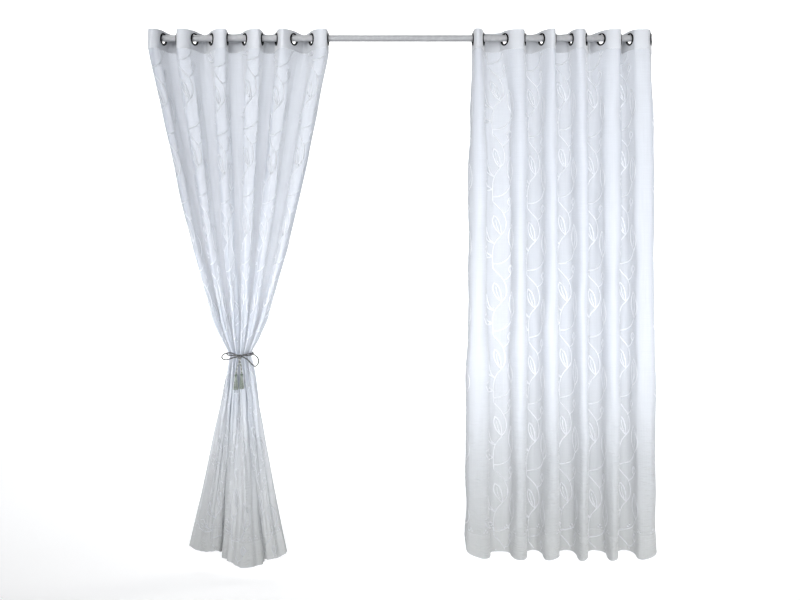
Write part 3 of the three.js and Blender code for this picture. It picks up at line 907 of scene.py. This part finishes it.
def heading_mesh(name, cloth):
    """Two faces with round holes, joined round every edge."""
    uu, vv = np.meshgrid(cloth.u, cloth.v)
    keep = np.ones((cloth.rows - 1, cloth.columns - 1), dtype=bool)
    for i in range(EYELETS):
        hole_u, hole_v = PITCH * (i + 0.5), HEADING_ABOVE
        away = np.hypot(uu - hole_u, vv - hole_v)
        inside = away < HOLE_RADIUS - HOLE_CUT
        keep &= ~any_corner(inside)
        pulled = (away < HOLE_RADIUS + HOLE_PULL) & ~inside & any_corner(np.pad(~keep, 1))
        share = HOLE_RADIUS / np.maximum(away, 1e-6)
        uu = np.where(pulled, hole_u + (uu - hole_u) * share, uu)
        vv = np.where(pulled, hole_v + (vv - hole_v) * share, vv)
    points, normals = cloth.at(uu, vv), cloth.normal_at(uu, vv)
    count = cloth.rows * cloth.columns
    verts = np.vstack([(points + normals * HEADING_HALF * side).reshape(-1, 3) for side in (1, -1)])
    faces, borders = [], {}
    for r, c in zip(*np.nonzero(keep)):
        k = r * cloth.columns + c
        ring = (k, k + 1, k + cloth.columns + 1, k + cloth.columns)
        faces += [ring, tuple(count + i for i in reversed(ring))]
        borders.update(dict.fromkeys(zip(ring, ring[1:] + ring[:1])))
    faces += [(b, a, a + count, b + count) for a, b in borders if (b, a) not in borders]
    uvs = np.column_stack([uu.ravel(), vv.ravel()])
    used = sorted({i for face in faces for i in face})
    renumber = {old: new for new, old in enumerate(used)}
    faces = [tuple(renumber[i] for i in face) for face in faces]
    return mesh_piece(name, verts[used], faces, np.vstack([uvs, uvs])[used])


def ribbon(points, normals, widths, height):
    """A lens-shaped satin thread lying in the cloth: its corners and faces, closed at both ends."""
    side = unit(np.cross(normals, unit(np.gradient(points, axis=0))))
    half = widths[:, None] / 2
    corners = np.stack([points - side * half, points + normals * height, points + side * half,
                        points - normals * height], axis=1)
    end = 4 * (len(points) - 1)
    caps = [(0, 1, 2, 3), (end + 3, end + 2, end + 1, end)]
    return corners.reshape(-1, 3), band_faces(len(points), 4) + caps


class Pile:
    """Collects many small shapes into one mesh. A tone from 0 to 1 goes with each point."""

    def __init__(self):
        self.verts, self.faces, self.tones, self.count = [], [], [], 0

    def add(self, verts, faces, tones=0.0):
        self.verts.append(np.asarray(verts))
        self.tones.append(np.broadcast_to(tones, len(verts)))
        self.faces += [tuple(i + self.count for i in face) for face in faces]
        self.count += len(verts)

    def lay(self, cloth, u, v, widths, height):
        """A thread through places given in cloth coordinates."""
        self.add(*ribbon(cloth.at(u, v), cloth.normal_at(u, v), widths, height))

    def piece(self, name, material, slot_name, *nodes):
        tones = np.concatenate(self.tones)
        uvs = np.column_stack([tones, 0 * tones])
        piece = mesh_piece(name, np.vstack(self.verts), self.faces, uvs)
        return dress(piece, material, slot_name, *nodes)

# ---------------- vine of outlined leaves

VINE_REPEAT = 290
VINE_COUNT = 6
LINE_STEP = 6
STEM_WIDTH, LEAF_WIDTH, RIB_WIDTH, HATCH_WIDTH = 4.8, 5.8, 4.0, 3.0
# One repeat of the vine, in millimetres to the right of its middle and up the cloth: (points, width).
VINE = [
    ([(-36, 0), (-38, 45), (-35, 88), (-22, 120), (-1, 145), (15, 168), (19, 200), (8, 238),
      (-14, 266), (-36, 290)], STEM_WIDTH),
    # small leaf in the fork
    ([(-1, 145), (-22, 168), (-36, 204), (-31, 230)], LEAF_WIDTH),
    ([(-31, 230), (-15, 214), (-5, 186), (-1, 145)], LEAF_WIDTH),
    ([(-9, 160), (-19, 184), (-24, 212)], RIB_WIDTH),
    # tall leaf on a bowed stalk
    ([(-37, 20), (-10, 22), (24, 40), (50, 78)], LEAF_WIDTH),
    ([(50, 78), (74, 104), (77, 142), (58, 178), (46, 192)], LEAF_WIDTH),
    ([(46, 192), (33, 160), (31, 122), (50, 78)], LEAF_WIDTH),
    ([(51, 92), (54, 122), (52, 152), (47, 178)], RIB_WIDTH),
    ([(53, 104), (63, 124), (64, 146), (56, 168)], HATCH_WIDTH),
    # bud on a short twig
    ([(8, 238), (26, 250), (38, 268)], STEM_WIDTH),
    ([(38, 268), (28, 286), (38, 306)], LEAF_WIDTH),
    ([(38, 306), (52, 290), (38, 268)], LEAF_WIDTH),
    ([(38, 276), (36, 290), (38, 300)], HATCH_WIDTH),
    # sideways leaf with an open tip
    ([(-38, 52), (-62, 66), (-92, 98), (-112, 92)], LEAF_WIDTH),
    ([(-38, 52), (-66, 48), (-100, 58), (-116, 80)], LEAF_WIDTH),
    ([(-60, 62), (-78, 70), (-98, 80)], RIB_WIDTH),
    ([(-74, 54), (-78, 70)], HATCH_WIDTH),
    ([(-86, 60), (-90, 76)], HATCH_WIDTH),
    # slim leaf
    ([(-30, 106), (-52, 128), (-62, 158), (-70, 182)], LEAF_WIDTH),
    ([(-70, 182), (-78, 152), (-64, 124), (-30, 106)], LEAF_WIDTH),
]
VINE_HEIGHT = 0.5 * MM
VINE_START = 40  # millimetres up the cloth, and more for every second vine
VINE_STAGGER = 30
VINE_INSET = (12 * MM, 4 * MM, 6 * MM)  # from the cloth's sides, top and foot
SKIRT_INSET = 10 * MM
TIE_CLEAR = 50 * MM
SPRIG_PITCH = 67 * MM
SPRIG_RISE = 12 * MM  # from the hem's seam to a sprig's lower dots
DOT_HALF = 4.4 * MM
DOT_WIDTHS = np.array([3.4, 9.6, 3.4]) * MM
DOT_HEIGHT = 0.8 * MM
TIED_ASIDE = 125 * MM  # the tied curtain's vines lie on the fronts of its folds


def vine_lines(length, aside):
    """All the lines of the woven design over one panel: (u, up) in metres, and a width."""
    lines = []
    for points, width in VINE:
        shape = smooth_line(points, LINE_STEP) if len(points) > 2 else np.array(points, dtype=float)
        for vine in range(VINE_COUNT + 1):
            middle = 2 * PITCH * vine + VALLEY_SHIFT + aside
            shift = VINE_START + VINE_STAGGER * (vine % 2)
            for repeat in range(-1, int(length / MM / VINE_REPEAT) + 2):
                place = np.array([0, repeat * VINE_REPEAT + shift])
                lines.append(((shape + place) * MM + np.array([middle, 0]), width * MM))
    return lines


def sprig_dots(length):
    """Sprigs of three satin dots in a row above the hem's seam."""
    dots = []
    for k in range(int(WIDTH / SPRIG_PITCH)):
        for du, up in ((-8, 0), (8, 0), (0, 10)):
            u = SPRIG_PITCH * (k + 0.5) + du * MM
            v = length - HEM_DEPTH - SPRIG_RISE - up * MM
            dots.append((np.array([u - DOT_HALF, u, u + DOT_HALF]), np.array([v, v - 0.0006, v])))
    return dots


def add_vines(name, cloth, tied):
    """The woven design. Below a tie it lies on the outer cloth, at its real size."""
    pile = Pile()
    tie_v = PANEL_TOP - WAIST_Z if tied else cloth.length
    outer = distances(cloth.points[-1])
    side, top, foot = VINE_INSET
    for line, width in vine_lines(cloth.length, TIED_ASIDE if tied else 0):
        u = line[:, 0]
        v = cloth.length - line[:, 1]
        in_skirt = v > tie_v
        inside = (u > side) & (u < WIDTH - side) & (v > top) & (v < cloth.length - foot)
        if tied:
            inside &= (np.abs(v - tie_v) > TIE_CLEAR) & (~in_skirt | (u < outer[-1] - SKIRT_INSET))
            u = np.where(in_skirt, np.interp(u, outer, cloth.u), u)
        runs = np.split(np.arange(len(u)), np.nonzero(np.diff(inside.astype(int)))[0] + 1)
        for run in runs:
            if len(run) < 2 or not inside[run[0]]:
                continue
            ends = np.minimum(np.arange(len(run)), np.arange(len(run))[::-1])
            pile.lay(cloth, u[run], v[run], width * np.clip(0.55 + 0.45 * ends, 0, 1), VINE_HEIGHT)
    for u, v in sprig_dots(cloth.length):
        pile.lay(cloth, u, v, DOT_WIDTHS, DOT_HEIGHT)
    return pile.piece(name, TIED_VINE_THREAD if tied else VINE_THREAD, "voile")


STITCH_PITCH = 6.2 * MM
STITCH_LENGTH = 4.2 * MM
STITCH_WIDTHS = np.array([0.4, 0.9, 0.4]) * MM
THREAD_HEIGHT = 1.1 * MM
SEAM_IN = 4 * MM  # how far inside an edge its seam runs
TAPE_END_IN = 3 * MM
ROLL_WIDTH = 2.8 * MM


def add_stitches(name, cloth, slot_name, runs):
    """Short sewn stitches along straight runs of a sheet: (u0, v0, u1, v1) each."""
    pile = Pile()
    for u0, v0, u1, v1 in runs:
        total = hypot(u1 - u0, v1 - v0)
        for k in range(int(total / STITCH_PITCH)):
            share = (np.array([0, 0.5, 1]) * STITCH_LENGTH + k * STITCH_PITCH) / total
            pile.lay(cloth, u0 + (u1 - u0) * share, v0 + (v1 - v0) * share, STITCH_WIDTHS, THREAD_HEIGHT)
    return pile.piece(name, SEWING_THREAD, slot_name)


def add_hem_roll(name, cloth):
    """The folded bottom edge, a little thicker than the cloth."""
    u = cloth.u[::2]
    pile = Pile()
    pile.lay(cloth, u, np.full_like(u, cloth.length), np.full_like(u, ROLL_WIDTH), THREAD_HEIGHT)
    return pile.piece(name, SEWING_THREAD, "voile")


def add_curtain(side, cloth, eyelets, sides, held):
    strip = heading_cloth(eyelets, sides)
    panel = dress(panel_mesh(f"voile_{side}", cloth, strip.length), VOILE, "voile", f"panel_{side}")
    heading = dress(heading_mesh(f"heading_cloth_{side}", strip), HEADING_CLOTH, "heading",
                    f"heading_{side}")
    vines = add_vines(f"vine_{side}", cloth, held == "gathered")
    roll = add_hem_roll(f"hem_roll_{side}", cloth)
    first, last = SEAM_IN, WIDTH - SEAM_IN
    hem_v = cloth.length - HEM_DEPTH
    side_seams = [(u, SEAM_IN, u, cloth.length - SEAM_IN) for u in (SIDE_HEM, WIDTH - SIDE_HEM)]
    seams = add_stitches(f"hem_stitches_{side}", cloth, "voile", [(first, hem_v, last, hem_v), *side_seams])
    foot = strip.length - SEAM_IN
    tape_seams = [(first, v, last, v) for v in (SEAM_IN, foot)]
    tape_ends = [(u, SEAM_IN, u, foot) for u in (TAPE_END_IN, WIDTH - TAPE_END_IN)]
    tape = add_stitches(f"heading_stitches_{side}", strip, "heading", tape_seams + tape_ends)
    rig.sheet(panel, flat=(WIDTH, PANEL_LENGTH), held=held, rests_on=[heading],
             with_pieces=[vines, roll, seams])
    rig.sheet(heading, flat=(WIDTH, HEADING_TOP - HEADING_FOOT), held="hung",
             rests_on=[f"ring_{side}_01"], with_pieces=[tape])

# ---------------- turned pieces

def turned(profile, sides, closed=True, rib=0.0):
    """Corners and faces of (radius, height) points turned round Z. Ribs swell every other side."""
    corners = []
    for k, angle in enumerate(round_angles(sides)):
        reach = 1 + rib * (-1) ** k
        corners += [(r * reach * cos(angle), r * reach * sin(angle), h) for r, h in profile]
    return np.array(corners), band_faces(sides, len(profile), rows_close=True, columns_close=closed)


def turned_piece(name, profile, sides, place, material, slot_name, node):
    corners, faces = turned(profile, sides)
    dress(mesh_piece(name, [place @ Vector(p) for p in corners], faces), material, slot_name, node)


def about(axis, degrees):
    return Matrix.Rotation(radians(degrees), 4, axis)


# Half of a ring's section, from the middle of its bore to the groove round its edge.
RING_HALF = [
    (20.5, 0.35), (20.5, 3.6), (20.8, 4.4), (21.5, 4.9), (23.2, 4.9), (25.0, 4.5), (26.3, 3.6),
    (26.9, 2.4), (27.0, 0.95), (23.3, 0.9),
]
RING_SEAM = (20.85, 0)
ROUND_SIDES = 64
PLUG_SIDES = 48


def add_rings(side, eyelets):
    whole = [RING_SEAM, *((r, -h) for r, h in RING_HALF), *reversed(RING_HALF)]
    profile = [(r * MM, h * MM) for r, h in whole]
    for i, (x, lean) in enumerate(eyelets):
        facing = about("Z", 90 - lean if i % 2 else lean - 90) @ about("X", 90)
        place = Matrix.Translation((x * MM, 0, -RING_DROP)) @ facing
        number = f"{side}_{i + 1:02d}"
        turned_piece(f"eyelet_{number}", profile, ROUND_SIDES, place, GUNMETAL, "ring", f"ring_{number}")


ROD_HALF = 1077 * MM
ROD_RADIUS = 14 * MM
ROD_BORE = 12.8 * MM
TUBE_EDGE = 0.4 * MM
PLUG_EDGE = 0.9 * MM
PLUG_IN = 22 * MM
PLUG_FACE = 3 * MM
PLUG_CORE = 0.2 * MM


def add_rod():
    half, outer, inner = ROD_HALF, ROD_RADIUS, ROD_BORE
    tube = [(inner, -half), (outer - TUBE_EDGE, -half), (outer, -half + TUBE_EDGE),
            (outer, half - TUBE_EDGE), (outer - TUBE_EDGE, half), (inner, half)]
    turned_piece("rod_skin", tube, ROUND_SIDES, about("Y", 90), ROD_PAINT, "rod", "rod_tube")
    spigot, edge = inner - GAP, PLUG_EDGE
    plug = [(PLUG_CORE, -PLUG_IN), (spigot - edge, -PLUG_IN), (spigot, edge - PLUG_IN), (spigot, GAP),
            (outer - edge / 3, GAP), (outer, GAP + edge / 3), (outer, PLUG_FACE - edge),
            (outer - edge, PLUG_FACE), (PLUG_CORE, PLUG_FACE)]
    for name, way in (("left", -1), ("right", 1)):
        place = Matrix.Translation((way * half, 0, 0)) @ about("Y", 90 * way)
        node = f"rod_plug_{name}"
        turned_piece(f"rod_plug_skin_{name}", plug, PLUG_SIDES, place, ROD_PAINT, "rod", node)

# ---------------- tie-back

CORD_RADIUS = 3 * MM
CORD_STEP = 1.2 * MM
KNOT = np.array([-678, -62, -1356]) * MM
KNOT_CORD = 2.9 * MM
KNOT_STRAND = 2.4 * MM
KNOT_STEP = 0.9 * MM
KNOT_TURN = (7.8, 2.9, 4.6)  # millimetres to the next turn, and a turn's half depth and half height
WRAP_HALF = (56 * MM, 54 * MM)
WRAP_WAVER = 1.2 * MM
WRAP_STEP = 1.5 * MM
# Routes as millimetre offsets from the middle of the knot.
KNOT_ACROSS = [(-11, -1.6, 1.4), (-5, -3.4, 0.6), (2, -3.8, -0.8), (10, -1.2, -1.8)]
BOW_LEFT = [
    (-9, 0, 3.1), (-17, -1, 6), (-32, -5, 12), (-48, -6, 14), (-63, -3, 10), (-74, 2, 2), (-77, 4, -6),
    (-72, 2, -13), (-59, -2, -16), (-46, -4, -13), (-32, -4, -8), (-17, -1, -5), (-9, 0, -3.1),
]
BOW_RIGHT = [
    (9, 0, 3.1), (17, -1, 5.5), (34, -5, 10), (51, -6, 11), (65, -4, 4), (76, 0, -8), (79, 2, -23),
    (75, 1, -36), (65, -3, -43), (53, -5, -35), (40, -5, -22), (29, -4, -12), (17, -1, -5.5), (9, 0, -3.1),
]
TAIL_LEFT = [
    (4, -0.5, -3), (4, -2.5, -9), (3, -6, -15), (-1, -8, -23), (-5, -8.5, -34), (-9, -9, -48),
    (-12.5, -10, -62), (-15, -11, -74),
]
TAIL_RIGHT = [
    (-4, 0, -3), (-4.2, -0.5, -9), (-3.6, -0.6, -15), (0.5, -1, -23), (4, -2.5, -34), (6, -5, -47),
    (8, -7.5, -60), (9.5, -9, -72),
]


SPLINE_STEPS = 14


def smooth_line(points, step, closed=False):
    """A centripetal spline through the points, sampled about every step."""
    points = np.asarray(points, dtype=float)
    if closed:
        padded = np.vstack([points[-1], points, points[0], points[1]])
    else:
        padded = np.vstack([2 * points[0] - points[1], points, 2 * points[-1] - points[-2]])
    line = []
    for k in range(len(padded) - 3):
        p = padded[k: k + 4]
        gaps = np.linalg.norm(np.diff(p, axis=0), axis=1) ** 0.5
        t = np.concatenate([[0], np.cumsum(np.maximum(gaps, 1e-6))])
        s = np.linspace(t[1], t[2], SPLINE_STEPS, endpoint=False)[:, None]

        def mix(a, b, ta, tb):
            return (a * (tb - s) + b * (s - ta)) / (tb - ta)

        a1, a2, a3 = (mix(p[j], p[j + 1], t[j], t[j + 1]) for j in range(3))
        b1, b2 = mix(a1, a2, t[0], t[2]), mix(a2, a3, t[1], t[3])
        line.append(mix(b1, b2, t[1], t[2]))
    line = np.vstack(line + [points[:1] if closed else points[-1:]])
    count = max(4, round(run_length(line) / step))
    return np.vstack([even_points(line, count), line[-1:]])


def twisted_tube(line, radius, sides=15, plies=3, lay=0.016, groove=0.17, closed=False):
    """A laid cord: corners, faces and tones of a tube with rounded plies that wind along it."""
    along = np.gradient(line, axis=0)
    if closed:
        along[0] = along[-1] = line[1] - line[-2]
    along = unit(along)
    side = np.zeros_like(line)
    current = np.cross(along[0], [0.3, 0.5, 0.8])
    for k, direction in enumerate(along):
        current = unit(current - direction * current.dot(direction))
        side[k] = current
    other = np.cross(along, side)
    rings = len(line) - 1 if closed else len(line)
    distance = distances(line)
    slip = 0.0
    turns = distance[-1] / lay
    if closed:
        slip = atan2(side[0].dot(other[-1]), side[0].dot(side[-1]))
        turns = round(turns * plies) / plies
    share = distance[:rings, None] / distance[-1]
    angle = (round_angles(sides) + slip * share)[..., None]
    wound = round_angles(sides) + 2 * pi * turns * share
    reach = radius * (1 - groove + groove * np.abs(np.cos(wound * plies / 2)) ** 0.8)
    outward = np.cos(angle) * side[:rings, None] + np.sin(angle) * other[:rings, None]
    verts = line[:rings, None] + reach[..., None] * outward
    faces = [(a, d, c, b) for a, b, c, d in band_faces(rings, sides, rows_close=closed)]
    if not closed:
        faces += [tuple(reversed(range(sides))), tuple(range((rings - 1) * sides, rings * sides))]
    return verts.reshape(-1, 3), faces, np.maximum(0.0, np.cos(wound)).ravel()


def route(offsets):
    return KNOT + np.array(offsets) * MM


def add_cord(name, yarn, node, *tubes):
    pile = Pile()
    for tube in tubes:
        pile.add(*tube)
    return pile.piece(name, yarn, "cord", node)


def add_wrap():
    angles = round_angles(40)
    ring = np.stack([WAIST_X + WRAP_HALF[0] * np.cos(angles), WRAP_HALF[1] * np.sin(angles),
                     WAIST_Z + WRAP_WAVER * np.sin(3 * angles)], axis=1)
    line = smooth_line(ring, WRAP_STEP, closed=True)
    add_cord("wrap_cord", CORD_YARN, "tie_wrap", twisted_tube(line, CORD_RADIUS, closed=True))


def add_knot():
    """Three turns of cord drawn tight round the middle of the bow, and one strand across them."""
    tubes = []
    angles = round_angles(20)
    pitch, depth, height = KNOT_TURN
    for k in (-1, 0, 1):
        y = depth * np.cos(angles)
        z = (height - 0.4 * abs(k)) * np.sin(angles)
        x = pitch * k + z * sin(0.25 * k) + np.sin(angles + k)
        loop = smooth_line(route(np.column_stack([x, y, z - abs(k)])), KNOT_STEP, closed=True)
        tubes.append(twisted_tube(loop, KNOT_CORD, closed=True, lay=14 * MM))
    tubes.append(twisted_tube(smooth_line(route(KNOT_ACROSS), KNOT_STEP), KNOT_STRAND))
    add_cord("knot_cord", CORD_YARN, "tie_knot", *tubes)


def add_free_cord(name, yarn, offsets):
    line = smooth_line(route(offsets), CORD_STEP)
    return add_cord(f"{name}_cord", yarn, name, twisted_tube(line, CORD_RADIUS)), line


def limp_cord(piece, line, step, far_end, with_pieces=()):
    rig.cord(piece, exit=line[0], length=run_length(line), diameter=2 * CORD_RADIUS, far_end=far_end,
            stiffness="limp", lay="hanging", path=line[::step], with_pieces=list(with_pieces))


# Tassel sizes in millimetres. The head's section runs from its foot to its top: radius, height.
HEAD_PROFILE = [
    (0.0006, -12.2), (4.6, -12.2), (4.9, -11.4), (4.4, -10.2), (4.7, -9.2), (5.6, -7.8), (6.0, -5.6),
    (5.6, -3.2), (4.4, -1.0), (3.0, 0.0), (0.0006, 0.0),
]
HEAD_SIDES = 40
BINDING_TURNS = 3
BINDING_RADIUS = 4.75
BINDING_TOP = -9.0
BINDING_PITCH = 1.15
BINDING_YARN = 0.7 * MM
STRAND_YARN = 0.62 * MM
STRAND_STEP = 4 * MM
STRANDS = 110
STRAND_HEIGHTS = (-10.5, -15, -28, -44)
STRAND_RADII = (4.3, 4.9, 6.2, 8.3)
STRAND_DRIFT = (0, 0.1, 0.6, 1.0, 0.4)
STRAND_REACH = 64.5
STRAND_SPREAD = 10.4
GOLDEN_ANGLE = 2.39996


def tassel_head():
    corners, faces = turned(HEAD_PROFILE, HEAD_SIDES, closed=False, rib=0.035)
    count = len(HEAD_PROFILE)
    foot = range(0, len(corners), count)
    faces += [tuple(reversed(foot)), tuple(k + count - 1 for k in foot)]
    return corners, faces


def strand_line(k, draw):
    """One strand of the skirt, spread evenly round and out from the middle."""
    share = sqrt((k + 0.5) / STRANDS)
    angle = k * GOLDEN_ANGLE + draw.uniform(-0.1, 0.1)
    foot = STRAND_SPREAD * share + draw.uniform(-0.5, 0.5)
    reach = STRAND_REACH + draw.uniform(-2.4, 1.2)
    sway = draw.uniform(-1.1, 1.1, size=2)
    radii = np.array([*(r * share for r in STRAND_RADII), foot])
    across = np.outer(radii, [cos(angle), sin(angle)]) + np.outer(STRAND_DRIFT, sway)
    return np.column_stack([across, [*STRAND_HEIGHTS, -reach]])


def add_tassel(name, end):
    """A bound head with a skirt of loose yarn."""
    draw = np.random.default_rng(21 if name.endswith("left") else 22)
    top = route(end) - np.array([0, 0, GAP + 0.7 * MM])
    pile = Pile()
    corners, faces = tassel_head()
    pile.add(top + corners * MM, faces)
    angles = round_angles(18)
    for turn in range(BINDING_TURNS):
        height = np.full(len(angles), (BINDING_TOP - BINDING_PITCH * turn) / BINDING_RADIUS)
        binding = BINDING_RADIUS * np.stack([np.cos(angles), np.sin(angles), height], axis=1)
        line = smooth_line(top + binding * MM, CORD_STEP, closed=True)
        pile.add(*twisted_tube(line, BINDING_YARN, sides=8, closed=True, lay=4 * MM))
    for k in range(STRANDS):
        line = smooth_line(top + strand_line(k, draw) * MM, STRAND_STEP)
        verts, faces, _ = twisted_tube(line, STRAND_YARN, sides=6, plies=2, lay=6 * MM)
        pile.add(verts, faces, draw.uniform(0, 1) ** 1.5)
    return pile.piece(f"{name}_yarn", TASSEL_YARN, "tassel", name)


def add_tie():
    add_wrap()
    add_knot()
    for side, offsets in (("left", BOW_LEFT), ("right", BOW_RIGHT)):
        limp_cord(*add_free_cord(f"bow_{side}", CORD_YARN, offsets), 3, "object")
    ends = {"left": TAIL_LEFT, "right": TAIL_RIGHT}
    tails = {side: add_free_cord(f"tail_{side}", TAIL_YARN, ends[side]) for side in ends}
    for side, (piece, line) in tails.items():
        limp_cord(piece, line, 2, "fitting", [add_tassel(f"tassel_{side}", ends[side][-1])])

# ---------------- studio

FLOOR_Z = -2.30
FLOOR_FRONT = -4.5
WALL_Y = 2.6
WALL_TOP = 2.6
STUDIO_HALF = 6
STUDIO_BEND = 0.8
STUDIO_STEPS = 12


def studio_paper():
    """White to the camera, one-sided, and dimmer behind the cloth than beside it."""
    material, n, out = new_material("Studio paper")
    grain = n.add("TexNoise", {"Scale": 40.0, "Detail": 3.0}).outputs[0]
    path = n.add("LightPath").outputs
    behind_cloth = n.math("MINIMUM", path["Transparent Depth"], 1.0)
    shaded = n.math("MAXIMUM", behind_cloth, n.minus(1.0, path["Is Camera Ray"]))
    face = n.add("BsdfPrincipled", {
        "Base Color": n.blend(shaded, (0.9, 0.9, 0.9, 1), (0.45, 0.46, 0.48, 1)),
        "Roughness": 0.9, "Normal": n.bump(grain, 0.03, 0.001), "Emission Color": (1, 1, 1, 1),
        "Emission Strength": n.ramp(shaded, 0.0, 1.0, 0.35, 0.08),
    }).outputs[0]
    n.link(n.mix(n.add("NewGeometry").outputs["Backfacing"], face, n.clear()), out)
    return material


def add_studio():
    """A pale floor that curves up into a pale wall."""
    profile = [(FLOOR_FRONT, FLOOR_Z)]
    for k in range(STUDIO_STEPS + 1):
        angle = radians(90 * k / STUDIO_STEPS)
        profile.append((WALL_Y - STUDIO_BEND + STUDIO_BEND * sin(angle),
                        FLOOR_Z + STUDIO_BEND - STUDIO_BEND * cos(angle)))
    profile.append((WALL_Y, WALL_TOP))
    verts = [(x, y, z) for y, z in profile for x in (-STUDIO_HALF, STUDIO_HALF)]
    faces = [(2 * k, 2 * k + 1, 2 * k + 3, 2 * k + 2) for k in range(len(profile) - 1)]
    sweep = mesh_piece("studio_sweep", verts, faces)
    sweep.data.materials.append(studio_paper())
    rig.stage(sweep)


def hang_light(name, kind, power, place, target):
    data = bpy.data.lights.new(name, kind)
    data.energy = power
    light = bpy.data.objects.new(name, data)
    light.location = place
    light.rotation_euler = (Vector(target) - Vector(place)).to_track_quat("-Z", "Y").to_euler()
    bpy.context.scene.collection.objects.link(light)
    return data


def add_light(name, place, target, size, power, spread=180):
    data = hang_light(name, "AREA", power, place, target)
    data.shape = "RECTANGLE"
    data.size, data.size_y = size
    data.spread = radians(spread)


def add_world():
    """White where the camera sees it, and dim where it lights the cloth."""
    world = bpy.data.worlds.new("Studio")
    bpy.context.scene.world = world
    world.use_nodes = True
    n = Nodes(world.node_tree)
    background = world.node_tree.nodes["Background"].inputs
    background[0].default_value = (0.93, 0.95, 1.0, 1)
    n.link(n.ramp(n.add("LightPath").outputs["Is Camera Ray"], 0.0, 1.0, 0.06, 0.95), background[1])


def add_lights():
    add_light("Key", (1.4, -3.8, -1.1), (0.85, 0, -1.48), (1.8, 1.5), 34, spread=70)
    add_light("Low fill", (-0.9, -2.8, -1.2), (-0.69, 0, -1.35), (1.6, 1.0), 6.2, spread=38)
    add_light("High fill", (-1.1, -2.6, 0.3), (-0.72, 0, -0.02), (1.2, 0.6), 1.2, spread=30)
    hang_light("Soft daylight", "SUN", 2.1, (-0.36, -0.92, 0.2), (0, 0, 0)).angle = radians(50)
    add_light("Wall left", (-1.8, 0.9, 1.6), (-1.6, 2.6, -0.6), (2.6, 0.8), 40)
    add_light("Wall right", (1.8, 0.9, 1.6), (1.6, 2.6, -0.6), (2.6, 0.8), 40)

# ---------------- assembly

add_tie()
left = left_cloth()
finish_left(left)
right = right_cloth()
finish_right(right)
add_curtain("left", left, LEFT_EYELETS, LEFT_SIDES, "gathered")
add_curtain("right", right, RIGHT_EYELETS, RIGHT_SIDES, "hung")
add_rings("left", LEFT_EYELETS)
add_rings("right", RIGHT_EYELETS)
add_rod()
add_studio()
add_world()
add_lights()
bpy.context.scene.view_settings.view_transform = "Standard"
bpy.context.scene.cycles.transparent_max_bounces = 48
bpy.context.scene.cycles.max_bounces = 8

SCENE_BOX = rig.bounds()
with open("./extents.json", "w") as report:
    json.dump({"cad": [list(p) for p in CAD_BOX], "scene": [list(p) for p in SCENE_BOX]}, report)
